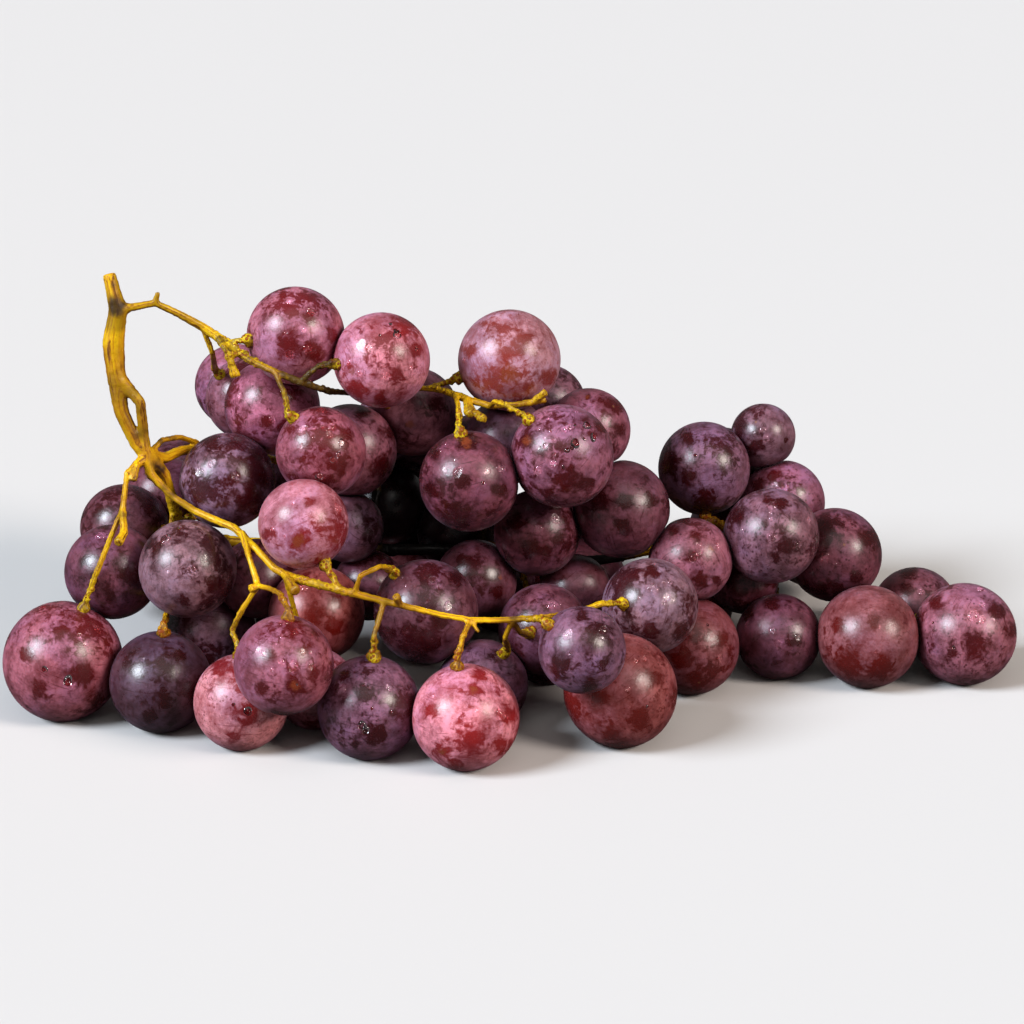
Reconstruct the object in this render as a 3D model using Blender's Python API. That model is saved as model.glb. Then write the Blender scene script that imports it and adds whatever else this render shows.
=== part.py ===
# A bunch of dark red table grapes, picked and lying on a table, in metres with +Z up.
#
# Two solids: the berries, fused where they press on each other, and the stem, with its
# cut stalk, its branches and one stalklet to each berry. The places of the berries and
# branches that show were read by eye from one photograph: a column and a row along a
# line of sight, and how far back the thing lies on that line. Sizes are real ones.
# The berries then settle against each other, berries hidden at the back are added by a
# seeded rule, and each stalklet is led clear of every berry to the nearest branch.

import math
import random
from collections import namedtuple

import bmesh
import bpy
import numpy as np
from mathutils import Vector

MM = 0.001

# The eye that took the photograph: it looks along +Y and down on the table.
PICTURE_MIDDLE = 512.0                    # column and row straight ahead, in pixels
FOCAL_PIXELS = 2900.0                     # focal length, in pixels
VIEW_TILT = math.radians(21.0)            # how far it looks down
EYE = np.array((0.0, -632.1, 309.0))      # in millimetres, over the front of the bunch

# Berries
PRESS = 1.3                # how deep two touching berries press together, mm
FACET_SWELL = 1.03         # corners stand this far out, so that the facets average the radius
FACET_FLAT = 0.963         # a facet's middle, as a part of the radius
SURFACE_SINK = 0.05        # a berry on the table is flattened by this part of its radius
SETTLE_STEPS = 300
HOMING = 0.3               # how strongly a seen berry is drawn back to its line of sight
HOMING_PART = 0.7          # the part of the steps in which it is
SIDE_FREEDOM = 0.06        # how freely a seen berry may leave its line of sight
RUN_MARGIN = 0.2           # a little more than the least space to a branch, mm
HIDDEN_COUNT = 26
HIDDEN_RADIUS = (10.8, 13.0)
HIDDEN_SPACE = ((-105, 100), (60, 112), (10, 80))
HIDDEN_REACH = (17, 42)    # least and most distance of a hidden berry from the main stem, mm
CROWD_REACH = 30.0         # berries closer than this crowd a place, mm
TOUCH_WORTH = 0.7          # what it is worth to touch a neighbour
HIDDEN_TRIES = 600
HIDDEN_ROLLS = 3           # how often a tried berry is rolled onto its nearest neighbour
MOST_OVERLAP = 0.4         # how much deeper than PRESS a tried berry may lie in another, mm
HIDDEN_STEM_SPACE = 1.5    # space to leave round the branches, mm
TOUCH_GAP = 1.5            # berries closer than this count as touching, mm
MOST_TOUCHES = 3           # more touching neighbours than this are worth no more
RIM_SPOTS = 12             # spots round the outline in which hiding is tested
RIM_REACH = (0.97, 0.5)    # how far out the two rings of spots lie, as a part of the radius
OPEN_MARGIN = 0.5          # space to leave round a line of sight that stays open, mm
GAP_REACH = 12.0           # a dark gap is narrower than this each way, mm
DARK_GAP = (-46.0, 34.0)   # from left to right, where such gaps are, mm
SEED = 11

# Stem
STEM_GAP = 0.3             # clear space between stem and berries, mm
STALKLET_RADIUS = 0.75
CUP_LENGTH = 2.6           # the swollen end that holds the berry
CUP_PROFILE = ((1.0, 0.825), (0.3, 1.45), (0.0, 1.28))  # part of the length, and radius, mm
CURVE_SPACING = 3.5        # between points of a curve as it is laid out, mm
STALKLET_CURVE_SPACING = 3.0
STALKLET_POINTS = 9
STALKLET_EASING = 0.35     # how far one step straightens a stalklet
STALKLET_MARGIN = 0.15     # a little more than the least space to the berries, mm
PUSH_PART = 0.8            # the part of a crossing that one step takes away
SHIFT_EASING = 0.1         # how far one step evens out the shifts along a branch
CLEARING_STEPS = 70
NEAR_SIDE = 0.45           # a seen stalklet meets its berry at least this far to the near side
LONGEST_SHIFT = 1.5        # the most that one step moves a point, mm
ROOT_CHOICES = 40          # a stalklet tries every other one of the nearest branch points
SHORTEST_STALKLET = 6.5
ROUGH_WAY_COST = 60.0      # what a millimetre short of the clear space costs, mm
SHOWING_COST = 18.0        # what it costs if the whole of a led stalklet shows, mm
NEAR_TABLE = 2.5           # a hidden berry this close to the table is set down on it, mm
RUN_SPACING = 6.0          # between the rings of points of a branch, mm
STALKLET_SPACING = 5.0
RUN_SIDES = {"cut_stalk": 8, "slit_strand": 6, "main": 6, "upper": 6, "lower": 6}
TWIG_SIDES = 5
WELD_DISTANCE = 0.000001   # in metres
SHARP_ANGLE = math.radians(50)

Seen = namedtuple("Seen", "name column row radius back")
ON_TABLE = None

# Every berry that shows: column and row of its middle in pixels, its radius in
# millimetres, and how many millimetres it lies behind the front berry.
SEEN_BERRIES = (
    Seen("top_left", 292, 333, 12.2, 62),
    Seen("top_middle", 384.5, 363, 11.9, 52),
    Seen("shoulder_back", 237, 386, 11.2, 96),
    Seen("shoulder_mid", 247, 399, 10.7, 77),
    Seen("shoulder_front", 268, 409, 12.1, 60),
    Seen("upper_left_front", 321, 450, 11.2, 38),
    Seen("upper_left_behind", 352, 449, 11.8, 59),
    Seen("left_dark", 225, 477, 12.0, 45),
    Seen("centre_left", 299.5, 530, 11.0, 25),
    Seen("left_low_dark", 188, 568, 12.2, 25),
    Seen("centre_small", 347, 531, 9.1, 48),
    Seen("centre_low", 424, 609, 13.0, 28),
    Seen("centre_high", 460.5, 483.5, 12.4, 36),
    Seen("top_gap", 415, 410, 11.4, 64),
    Seen("summit", 509.5, 362, 12.8, 65),
    Seen("right_high", 566, 455, 12.8, 35),
    Seen("right_high_behind", 507, 440, 11.0, 62),
    Seen("right_shoulder", 587, 424, 10.6, 66),
    Seen("summit_behind", 545, 405, 10.5, 78),
    Seen("centre_dark", 538, 531, 11.0, 48),
    Seen("right_dark", 619, 510, 12.5, 57),
    Seen("centre_shade", 478, 582, 10.5, 54),
    Seen("low_middle", 546, 627, 11.5, 37),
    Seen("low_middle_back", 482, 688, 11.3, ON_TABLE),
    Seen("front", 471, 719.5, 13.0, 0),
    Seen("front_left", 366, 711, 12.7, ON_TABLE),
    Seen("front_left_high", 284, 665, 12.0, -2),
    Seen("front_left_pale", 245, 702, 11.8, ON_TABLE),
    Seen("left_table_dark", 161, 681, 12.7, ON_TABLE),
    Seen("left_end", 58, 662, 15.0, ON_TABLE),
    Seen("left_side_low", 113, 570, 12.0, 40),
    Seen("left_side_high", 125, 528, 11.4, 60),
    Seen("left_side_behind", 165, 495, 10.2, 76),
    Seen("left_top_behind", 180, 480, 11.1, 93),
    Seen("left_under", 203, 625, 12.0, ON_TABLE),
    Seen("left_inner", 256, 573, 10.2, 52),
    Seen("low_left", 320, 613, 12.1, 30),
    Seen("low_left_behind", 368, 588, 9.1, 50),
    Seen("front_left_under", 312, 690, 10.2, ON_TABLE),
    Seen("front_right_small", 582, 650, 10.5, 0),
    Seen("front_right", 620, 692, 14.0, ON_TABLE),
    Seen("right_low", 650, 605, 12.0, 35),
    Seen("right_table", 691, 653, 12.5, ON_TABLE),
    Seen("right_middle", 692.5, 559, 10.8, 54),
    Seen("tail_top_dark", 704, 468.5, 12.1, 78),
    Seen("tail_top_small", 763, 436, 8.6, 92),
    Seen("tail_upper", 783, 502, 11.1, 86),
    Seen("tail_middle", 775, 534.5, 12.2, 66),
    Seen("tail_right", 835, 555, 12.3, 72),
    Seen("tail_table", 773, 628, 11.1, ON_TABLE),
    Seen("end_front", 866, 640, 13.2, ON_TABLE),
    Seen("end_back", 914, 606, 11.2, ON_TABLE),
    Seen("right_end", 970, 633, 13.2, ON_TABLE),
    Seen("tail_inner", 745, 580, 9.2, 68),
    Seen("centre_inner", 575, 590, 9.2, 62),
    Seen("low_middle_under", 547, 647, 9.2, ON_TABLE),
    # these four are the dark middle of the bunch
    Seen("inside_high", 398, 480, 11.4, 92),
    Seen("inside_low", 418, 533, 11.6, 90),
    Seen("inside_left", 378, 500, 10.6, 84),
    Seen("inside_right", 462, 531, 11.0, 88),
)

# Columns and rows where the table shows between the berries.
OPEN_SIGHTS = ((645, 554), (402, 659), (418, 659), (434, 659), (487, 635), (260, 628),
               (156, 612), (806, 600), (325, 388))

# A stem run starts in its parent run and goes through points (column, row, back,
# radius), in pixels and millimetres. The cut stalk splits round a slit and closes again.
Run = namedtuple("Run", "parent points")
RUNS = {
    "cut_stalk": Run(None, (
        (109, 274, 52, 1.6), (116, 293, 51, 1.8), (118, 310, 50, 2.2),
        (115, 331, 50, 2.6), (112, 355, 49, 2.8), (116, 375, 48, 2.3),
        (117, 393, 47, 1.7), (121, 411, 46, 1.9), (127, 426, 46, 1.8),
        (136, 443, 45, 1.7), (148, 455, 45, 2.2))),
    "slit_strand": Run("cut_stalk", (
        (118, 376, 48, 2.0), (132, 391, 46, 1.8), (140, 402, 45, 1.4),
        (142, 418, 45, 1.3), (144, 437, 45, 1.4), (147, 456, 44, 1.6),
        (150, 474, 43, 1.3))),
    "main": Run("cut_stalk", (
        (149, 456, 45, 2.0), (160, 467, 46, 1.8), (168, 484, 47, 1.5),
        (173, 506, 49, 1.4), (184, 528, 53, 1.5), (225, 541, 66, 1.6),
        (290, 545, 68, 1.6), (370, 550, 68, 1.6), (450, 550, 68, 1.5),
        (525, 562, 68, 1.5), (600, 560, 72, 1.4), (665, 545, 73, 1.3),
        (715, 521, 72, 1.2), (760, 558, 82, 1.2), (830, 575, 88, 1.1),
        (884, 598, 90, 1.0))),
    "upper": Run("cut_stalk", (
        (115, 309, 50, 1.2), (135, 304, 50, 0.8), (155, 303, 51, 0.9),
        (190, 320, 53, 1.05), (215, 335, 53, 1.25), (250, 360, 48, 0.95),
        (275, 372, 44, 0.95), (300, 382, 44, 0.95), (328, 391, 48, 0.8),
        (362, 393, 60, 0.75), (396, 390, 66, 0.8), (430, 388, 62, 0.8),
        (455, 394, 56, 0.95), (478, 404, 52, 0.95), (505, 406, 50, 0.85),
        (546, 400, 52, 0.8))),
    "lower": Run("slit_strand", (
        (150, 473, 43, 1.3), (158, 484, 43, 1.0), (172, 496, 41, 0.9),
        (185, 506, 40, 1.0), (215, 520, 36, 1.0), (242, 532, 30, 1.0),
        (262, 556, 24, 0.95), (285, 575, 18, 1.0), (340, 590, 14, 1.05),
        (400, 605, 11, 0.85), (470, 620, 9, 0.8), (540, 618, 9, 0.8))),
    "lower_end": Run("lower", (
        (530, 619, 9, 0.75), (552, 616, 12, 0.75), (575, 613, 17, 0.75),
        (600, 604, 19, 0.8))),
    "left": Run("cut_stalk", (
        (148, 456, 45, 1.7), (137, 464, 41, 1.6), (127, 473, 39, 0.8),
        (124, 490, 38, 0.75), (123, 508, 36, 0.8), (113, 532, 34, 0.75),
        (97, 572, 32, 0.85))),
    "back_left": Run("cut_stalk", (
        (149, 455, 45, 1.8), (165, 458, 50, 1.5), (178, 455, 54, 1.4),
        (190, 447, 59, 1.3), (235, 452, 70, 1.2), (285, 462, 80, 1.0),
        (330, 470, 84, 0.9))),
    "ring_strand": Run("cut_stalk", (
        (147, 449, 45, 0.9), (162, 440, 50, 0.8), (180, 437, 55, 0.8),
        (198, 443, 61, 0.8))),
    "riser_left": Run("main", (
        (370, 550, 68, 1.6), (372, 520, 72, 1.2), (378, 485, 76, 1.1),
        (385, 450, 80, 0.9))),
    "riser_right": Run("main", (
        (525, 562, 68, 1.6), (535, 530, 70, 1.2), (548, 495, 72, 1.1),
        (560, 470, 78, 0.9))),
    "tail_twig": Run("main", (
        (760, 558, 82, 1.0), (775, 530, 93, 0.8), (783, 500, 101, 0.8),
        (778, 466, 103, 0.8))),
    "low_left_twig": Run("lower", (
        (243, 532, 29, 1.0), (250, 560, 22, 0.8), (258, 586, 17, 0.9))),
}

# Stalklets that show: the run each leaves, its points (column, row, back), and at last
# the column and row where it meets its berry.
SEEN_STALKLETS = {
    "top_left": ("upper", (222, 339, 51), (232, 337, 52), (243, 340)),
    "shoulder_mid": ("upper", (207, 331, 53), (212, 352, 54), (221, 376)),
    "top_middle": ("upper", (294, 380, 44), (306, 370, 42), (318, 366, 44), (336, 364)),
    "upper_left_front": ("upper", (279, 373, 44), (284, 392, 40), (289, 414)),
    "centre_high": ("upper", (458, 395, 55), (459, 410, 46), (459, 430)),
    "right_high": ("upper", (484, 404, 51), (498, 401, 44), (515, 411, 38), (529, 421)),
    "front_left_high": ("low_left_twig", (258, 586, 17), (274, 590, 10), (284, 598, 6),
                        (288, 612)),
    "front_left_pale": ("low_left_twig", (258, 586, 17), (243, 608, 17), (232, 630, 18),
                        (239, 652)),
    "centre_low": ("lower", (352, 593, 13), (360, 576, 12), (374, 567, 12), (394, 573)),
    "front_left": ("lower", (378, 600, 12), (373, 618, 9), (374, 636, 7), (374, 658)),
    "front": ("lower", (471, 620, 9), (463, 636, 4), (457, 648, 2), (458, 664)),
    "low_middle_back": ("lower", (508, 619, 9), (505, 635, 9), (503, 655)),
    "low_middle": ("lower", (508, 619, 9), (518, 631, 11), (530, 633)),
    "front_right_small": ("lower", (528, 619, 9), (538, 619, 7), (547, 623)),
    "right_low": ("lower_end", (600, 604, 19), (612, 602, 19), (624, 604)),
    "left_end": ("left", (97, 572, 32), (90, 590, 31), (84, 606)),
    "left_table_dark": ("main", (174, 508, 49), (171, 545, 47), (170, 585, 44), (167, 612, 36),
                        (163, 628)),
}

# Bare stubs where a berry dropped off: the run each leaves, and its points.
STUBS = {
    "stub_top": Run("upper", ((156, 303, 51, 0.8), (158, 292, 51, 0.7))),
    "stub_shoulder": Run("upper", (
        (212, 334, 53, 0.9), (226, 350, 48, 0.8), (236, 377, 47, 1.3))),
    "stub_shoulder_low": Run("upper", ((228, 345, 51, 0.8), (233, 357, 48, 1.1))),
    "stub_summit": Run("upper", ((538, 401, 52, 0.8), (546, 392, 50, 1.1))),
    "stub_tangle": Run("upper", ((470, 401, 53, 0.9), (474, 412, 46, 0.8), (484, 419, 42, 1.2))),
    "stub_tangle_low": Run("upper", ((463, 398, 54, 0.9), (470, 415, 44, 1.2))),
    "stub_knob": Run("lower", ((285, 575, 18, 1.0), (290, 584, 14, 0.9), (296, 592, 11, 1.4))),
    "stub_left_knob": Run("low_left_twig", ((258, 586, 17, 0.9), (250, 589, 15, 1.2))),
    "stub_middle_knob": Run("lower", ((393, 603, 11, 0.9), (396, 596, 9, 1.2))),
    "stub_curl": Run("lower", ((474, 620, 9, 0.7), (479, 632, 7, 0.5))),
    "stub_left": Run("left", ((134, 465, 41, 0.9), (133, 481, 38, 1.1))),
    "stub_left_low": Run("left", (
        (124, 507, 36, 0.9), (130, 522, 34, 0.8), (124, 533, 30, 1.1), (118, 543, 26, 1.4))),
}


def line_of_sight(column, row):
    """Direction in which the eye sees a point of the picture."""
    side = (column - PICTURE_MIDDLE) / FOCAL_PIXELS
    drop = (row - PICTURE_MIDDLE) / FOCAL_PIXELS
    ahead = math.cos(VIEW_TILT) - drop * math.sin(VIEW_TILT)
    down = math.sin(VIEW_TILT) + drop * math.cos(VIEW_TILT)
    return np.array((side, ahead, -down))


def place_at_back(column, row, back):
    """Point on the line of sight that lies so far behind the front berry."""
    sight = line_of_sight(column, row)
    return EYE + sight * (back - EYE[1]) / sight[1]


def place_at_height(column, row, height):
    """Point on the line of sight at a height above the table."""
    sight = line_of_sight(column, row)
    return EYE + sight * (height - EYE[2]) / sight[2]


def unit(vector):
    return vector / np.linalg.norm(vector)


def smooth_run(points, spacing=CURVE_SPACING):
    """Points about `spacing` apart on a Catmull-Rom curve through the given ones."""
    points = np.array(points, dtype=float)
    padded = np.vstack((2 * points[0] - points[1], points, 2 * points[-1] - points[-2]))
    curve = []
    for index in range(1, len(padded) - 2):
        before, start, end, after = padded[index - 1:index + 3]
        steps = max(1, round(np.linalg.norm((end - start)[:3]) / spacing))
        for step in range(steps):
            t = step / steps
            curve.append(0.5 * (2 * start + (end - before) * t
                                + (2 * before - 5 * start + 4 * end - after) * t ** 2
                                + (3 * start - before - 3 * end + after) * t ** 3))
    curve.append(padded[-2])
    return np.array(curve)


def run_in_space(points):
    """Turn (column, row, back, radius) points into a smooth run of (x, y, z, radius)."""
    return smooth_run([(*place_at_back(column, row, back), radius)
                       for column, row, back, radius in points])


def nearest_on_runs(points, runs):
    """Offsets from the nearest points of the runs to each point, and the space to them."""
    offsets = points[:, None, :] - runs[None, :, :3]
    spaces = np.linalg.norm(offsets, axis=2) - runs[None, :, 3]
    nearest = spaces.argmin(axis=1)
    rows = np.arange(len(points))
    return offsets[rows, nearest], spaces[rows, nearest]


def spanning_pairs(gaps):
    """Pairs of berries that link them all with the smallest gaps."""
    count = len(gaps)
    linked = [0]
    pairs = []
    best = gaps[0].copy()
    parent = np.zeros(count, dtype=int)
    best[0] = np.inf
    for _ in range(count - 1):
        index = int(np.argmin(best))
        pairs.append((parent[index], index))
        linked.append(index)
        closer = gaps[index] < best
        closer[linked] = False
        best[closer] = gaps[index][closer]
        parent[closer] = index
        best[linked] = np.inf
    return np.array(pairs)


def settle(places, radii, mobility, on_table, runs):
    """Press the berries together, on the table and clear of the points of the runs.

    `mobility` holds a 3x3 matrix for each berry: which ways it moves freely."""
    count = len(places)
    homes = places.copy()
    stiffness = np.linalg.inv(mobility)
    stiffness /= np.linalg.norm(stiffness, axis=(1, 2))[:, None, None]
    for step in range(SETTLE_STEPS):
        homing = HOMING * max(0.0, 1 - step / (SETTLE_STEPS * HOMING_PART))
        places = places + homing * np.einsum("nij,nj->ni", stiffness, homes - places)

        offsets = places[:, None, :] - places[None, :, :]
        distances = np.linalg.norm(offsets, axis=2) + np.eye(count)
        gaps = distances - (radii[:, None] + radii[None, :] - PRESS)
        gaps[np.diag_indices(count)] = np.inf
        links = spanning_pairs(gaps)
        pressed = np.argwhere(np.triu(gaps < 0, 1))
        apart = links[gaps[links[:, 0], links[:, 1]] > 0]
        one, other = np.vstack((pressed, apart)).T
        normals = offsets[one, other] / distances[one, other][:, None]
        pull_one = np.einsum("nij,nj->ni", mobility[one], normals)
        pull_other = np.einsum("nij,nj->ni", mobility[other], normals)
        give = np.einsum("ni,ni->n", normals, pull_one + pull_other)
        amounts = (gaps[one, other] / give)[:, None]
        moves = np.zeros_like(places)
        np.add.at(moves, one, -amounts * pull_one)
        np.add.at(moves, other, amounts * pull_other)
        shares = np.bincount(np.concatenate((one, other)), minlength=count)

        offsets, spaces = nearest_on_runs(places, runs)
        short = radii * FACET_SWELL + STEM_GAP + RUN_MARGIN - spaces
        normals = offsets / np.linalg.norm(offsets, axis=1)[:, None]
        pulls = np.einsum("nij,nj->ni", mobility, normals)
        give = np.einsum("ni,ni->n", normals, pulls)
        moves += (np.maximum(short, 0) / give)[:, None] * pulls
        shares += short > 0

        places = places + moves / np.maximum(shares, 1)[:, None]
        lift = radii * (1 - SURFACE_SINK) - places[:, 2]
        lift = np.where(on_table, lift, np.maximum(lift, 0))
        places += mobility[:, :, 2] * (lift / mobility[:, 2, 2])[:, None]
    return places


def seen_mobility(column, row):
    """Free along the line of sight, and nearly fixed across it."""
    sight = unit(line_of_sight(column, row))
    along = np.outer(sight, sight)
    return along + SIDE_FREEDOM * (np.eye(3) - along)


def covered(spots, places, radii):
    """Which of the spots a berry hides from the eye."""
    sights = spots - EYE
    reach = np.linalg.norm(sights, axis=1)
    along = (sights / reach[:, None]) @ (places - EYE).T
    miss = np.sqrt(np.maximum(np.sum((places - EYE) ** 2, axis=1) - along ** 2, 0))
    return np.any((miss < radii) & (along < reach[:, None]), axis=1)


def is_hidden(place, radius, places, radii):
    """True where nearer berries hide this one, or show it only in a gap between them."""
    toward = unit(place - EYE)
    side = unit(np.cross(toward, (0, 0, 1)))
    up = np.cross(side, toward)
    turns = np.linspace(0, 2 * math.pi, RIM_SPOTS, endpoint=False)
    rim = np.outer(np.cos(turns), side) + np.outer(np.sin(turns), up)
    outer, inner = RIM_REACH
    spots = place + radius * np.vstack((outer * rim, inner * rim[::2], np.zeros((1, 3))))
    for spot in spots[~covered(spots, places, radii)]:
        around = covered(spot + GAP_REACH * rim, places, radii)
        if not (around.all() and DARK_GAP[0] < spot[0] < DARK_GAP[1]):
            return False
    for column, row in OPEN_SIGHTS:
        sight = unit(line_of_sight(column, row))
        if np.linalg.norm(np.cross(place - EYE, sight)) < radius + OPEN_MARGIN:
            return False
    return True


def hidden_berries(places, radii, runs, main_run, draw):
    """Fill the back of the bunch with berries that the front ones hide."""
    for _ in range(HIDDEN_COUNT):
        best = None
        for _ in range(HIDDEN_TRIES):
            radius = draw.uniform(*HIDDEN_RADIUS)
            place = np.array([draw.uniform(low, high) for low, high in HIDDEN_SPACE])
            for _ in range(HIDDEN_ROLLS):
                offsets = place - places
                gaps = np.linalg.norm(offsets, axis=1) - radii - radius + PRESS
                nearest = gaps.argmin()
                place = place - unit(offsets[nearest]) * gaps[nearest]
            gaps = np.linalg.norm(place - places, axis=1) - radii - radius + PRESS
            _, spaces = nearest_on_runs(place[None], runs)
            reach = np.linalg.norm(main_run[:, :3] - place, axis=1).min()
            if (gaps.min() < -MOST_OVERLAP
                    or spaces[0] < radius * FACET_SWELL + HIDDEN_STEM_SPACE
                    or place[2] < radius * (1 - SURFACE_SINK)
                    or not HIDDEN_REACH[0] < reach < HIDDEN_REACH[1]):
                continue
            crowd = np.sum(np.maximum(0, 1 - gaps / CROWD_REACH))
            score = crowd - TOUCH_WORTH * min(np.sum(gaps < TOUCH_GAP), MOST_TOUCHES)
            if best is not None and score > best[0]:
                continue
            if is_hidden(place, radius, places, radii):
                best = (score, place, radius)
        if best is not None:
            places = np.vstack((places, best[1]))
            radii = np.append(radii, best[2])
    return places, radii


def shift_clear(run, places, radii):
    """Move a run's points, mostly along the lines of sight, clear of every berry."""
    run = run.copy()
    homes = run[:, :3].copy()
    shifts = np.zeros_like(homes)
    for _ in range(CLEARING_STEPS):
        points = homes + shifts
        offsets = points[:, None, :] - places[None]
        distances = np.linalg.norm(offsets, axis=2)
        needed = radii[None] * FACET_SWELL + run[:, 3:4] + STEM_GAP
        short = needed - distances
        for index in range(1, len(run)):
            other = int(np.argmax(short[index]))
            if short[index, other] > 0:
                normal = offsets[index, other] / distances[index, other]
                sight = unit(points[index] - EYE)
                pull = SIDE_FREEDOM * normal + (1 - SIDE_FREEDOM) * (normal @ sight) * sight
                reach = short[index, other] / (normal @ pull)
                shifts[index] += pull * min(reach, LONGEST_SHIFT / np.linalg.norm(pull))
            low = run[index, 3] + STEM_GAP - points[index, 2]
            if low > 0:
                shifts[index, 2] += low
        shifts[1:-1] += SHIFT_EASING * (0.5 * (shifts[:-2] + shifts[2:]) - shifts[1:-1])
    run[:, :3] = homes + shifts
    return run


def clearance(run, places, radii):
    """The least space between a run and the berries, less than zero where they cross."""
    middles = 0.5 * (run[:-1] + run[1:])
    points = np.vstack((run, middles))
    distances = np.linalg.norm(points[:, None, :3] - places[None], axis=2)
    return (distances - radii[None] * FACET_SWELL - points[:, 3:4]).min()


def cup_points(place, radius, pole):
    """The last points of a stalklet: it swells to a cup that stops just off the berry."""
    end = radius * FACET_FLAT + STEM_GAP
    return np.array([(*(place + pole * (end + part * CUP_LENGTH)), thickness)
                     for part, thickness in CUP_PROFILE])


def seen_pole(place, radius, column, row):
    """Direction from a berry's middle to where a seen stalklet meets its near side."""
    sight = line_of_sight(column, row)
    spot = EYE + sight * np.linalg.norm(place - EYE) / np.linalg.norm(sight)
    across = spot - place
    toward = -unit(sight)
    rise = max(radius ** 2 - across @ across, (NEAR_SIDE * radius) ** 2)
    return unit(across + toward * math.sqrt(rise))


def seen_stalklet(way, root, place, radius, places, radii):
    """Stalklet from its root through the points that show, up to its berry."""
    _, *middle, end = way
    pole = seen_pole(place, radius, *end)
    cup = cup_points(place, radius, pole)
    points = [(*place_at_back(*point), STALKLET_RADIUS) for point in middle]
    run = smooth_run(np.vstack(((*root, STALKLET_RADIUS), *points, cup[0])),
                     STALKLET_CURVE_SPACING)
    run = shift_clear(run, places, radii)
    return np.vstack((run[:-1], cup)), pole


def led_stalklet(start, own, places, radii):
    """Stalklet from a point on a branch to a berry, led clear of the berries between."""
    place, radius = places[own], radii[own]
    pole = unit(start - place)
    stand = radius * FACET_FLAT + STEM_GAP + CUP_LENGTH
    blend = np.linspace(0, 1, STALKLET_POINTS)[:, None]
    points = start * (1 - blend) + (place + pole * stand) * blend
    for _ in range(CLEARING_STEPS):
        points[1:-1] += STALKLET_EASING * (0.5 * (points[:-2] + points[2:]) - points[1:-1])
        offsets = points[:, None, :] - places[None]
        distances = np.linalg.norm(offsets, axis=2)
        short = radii[None] * FACET_SWELL + STALKLET_RADIUS + STEM_GAP - distances
        short += STALKLET_MARGIN
        short[0] = 0
        pushes = np.maximum(short, 0)[:, :, None] * offsets / distances[:, :, None]
        points += PUSH_PART * pushes.sum(axis=1)
        points[:, 2] = np.maximum(points[:, 2], STALKLET_RADIUS + STEM_GAP)
        pole = unit(points[-2] - place)
        points[0] = start
        points[-1] = place + pole * stand
    cup = cup_points(place, radius, pole)
    run = np.hstack((points, np.full((len(points), 1), STALKLET_RADIUS)))
    others = np.arange(len(places)) != own
    space = min(clearance(run[1:], places, radii),
                clearance(cup, places[others], radii[others]))
    length = np.linalg.norm(np.diff(points, axis=0), axis=1).sum()
    return np.vstack((run[:-1], cup)), pole, space, length


def thin_out(run, spacing):
    """Drop points closer together than `spacing`, but keep the ends."""
    kept = [run[0]]
    for point in run[1:-1]:
        if np.linalg.norm(point[:3] - kept[-1][:3]) >= spacing:
            kept.append(point)
    if len(kept) > 1 and np.linalg.norm(run[-1][:3] - kept[-1][:3]) < spacing * 0.5:
        kept.pop()
    kept.append(run[-1])
    return np.array(kept)


def thin_stalklet(run):
    """A stalklet with fewer points along its way, and its cup whole."""
    return np.vstack((thin_out(run[:-2], STALKLET_SPACING), run[-2:]))


def lead_stalklets(pending, runs, places, radii):
    """Join each berry left, nearest first, to a near branch by a clear way, out of sight."""
    stalklets = {}
    poles = {}
    network = np.vstack([run[1:] for run in runs])
    pending = set(pending)
    while pending:
        own = min(pending, key=lambda index: np.linalg.norm(
            network[:, :3] - places[index], axis=1).min() - radii[index])
        pending.discard(own)
        order = np.argsort(np.linalg.norm(network[:, :3] - places[own], axis=1))
        best = None
        for candidate in order[:ROOT_CHOICES:2]:
            run, pole, space, length = led_stalklet(network[candidate, :3], own, places, radii)
            cost = max(length, 2 * SHORTEST_STALKLET - length)
            cost += ROUGH_WAY_COST * max(0.0, STEM_GAP - space)
            cost += SHOWING_COST * (1 - covered(run[:, :3], places, radii).mean())
            if best is None or cost < best[0]:
                best = (cost, run, pole, space)
        stalklets[own] = best[1]
        poles[own] = best[2]
        if len(best[1]) > 5:
            network = np.vstack((network, best[1][2:-4]))
    return stalklets, poles


def rooted(points, parent):
    """Move the first point of a run onto the nearest point of its parent."""
    nearest = np.argmin(np.linalg.norm(parent[:, :3] - points[0][:3], axis=1))
    points[0][:3] = parent[nearest][:3]
    return points


def lead_runs(runs, table, places, radii):
    """Shift every run of a table clear of the berries, each rooted in its parent."""
    for name, (parent, points) in table.items():
        run = run_in_space(points)
        if parent is not None:
            run = rooted(run, runs[parent])
        runs[name] = shift_clear(run, places, radii)
    return runs


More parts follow.
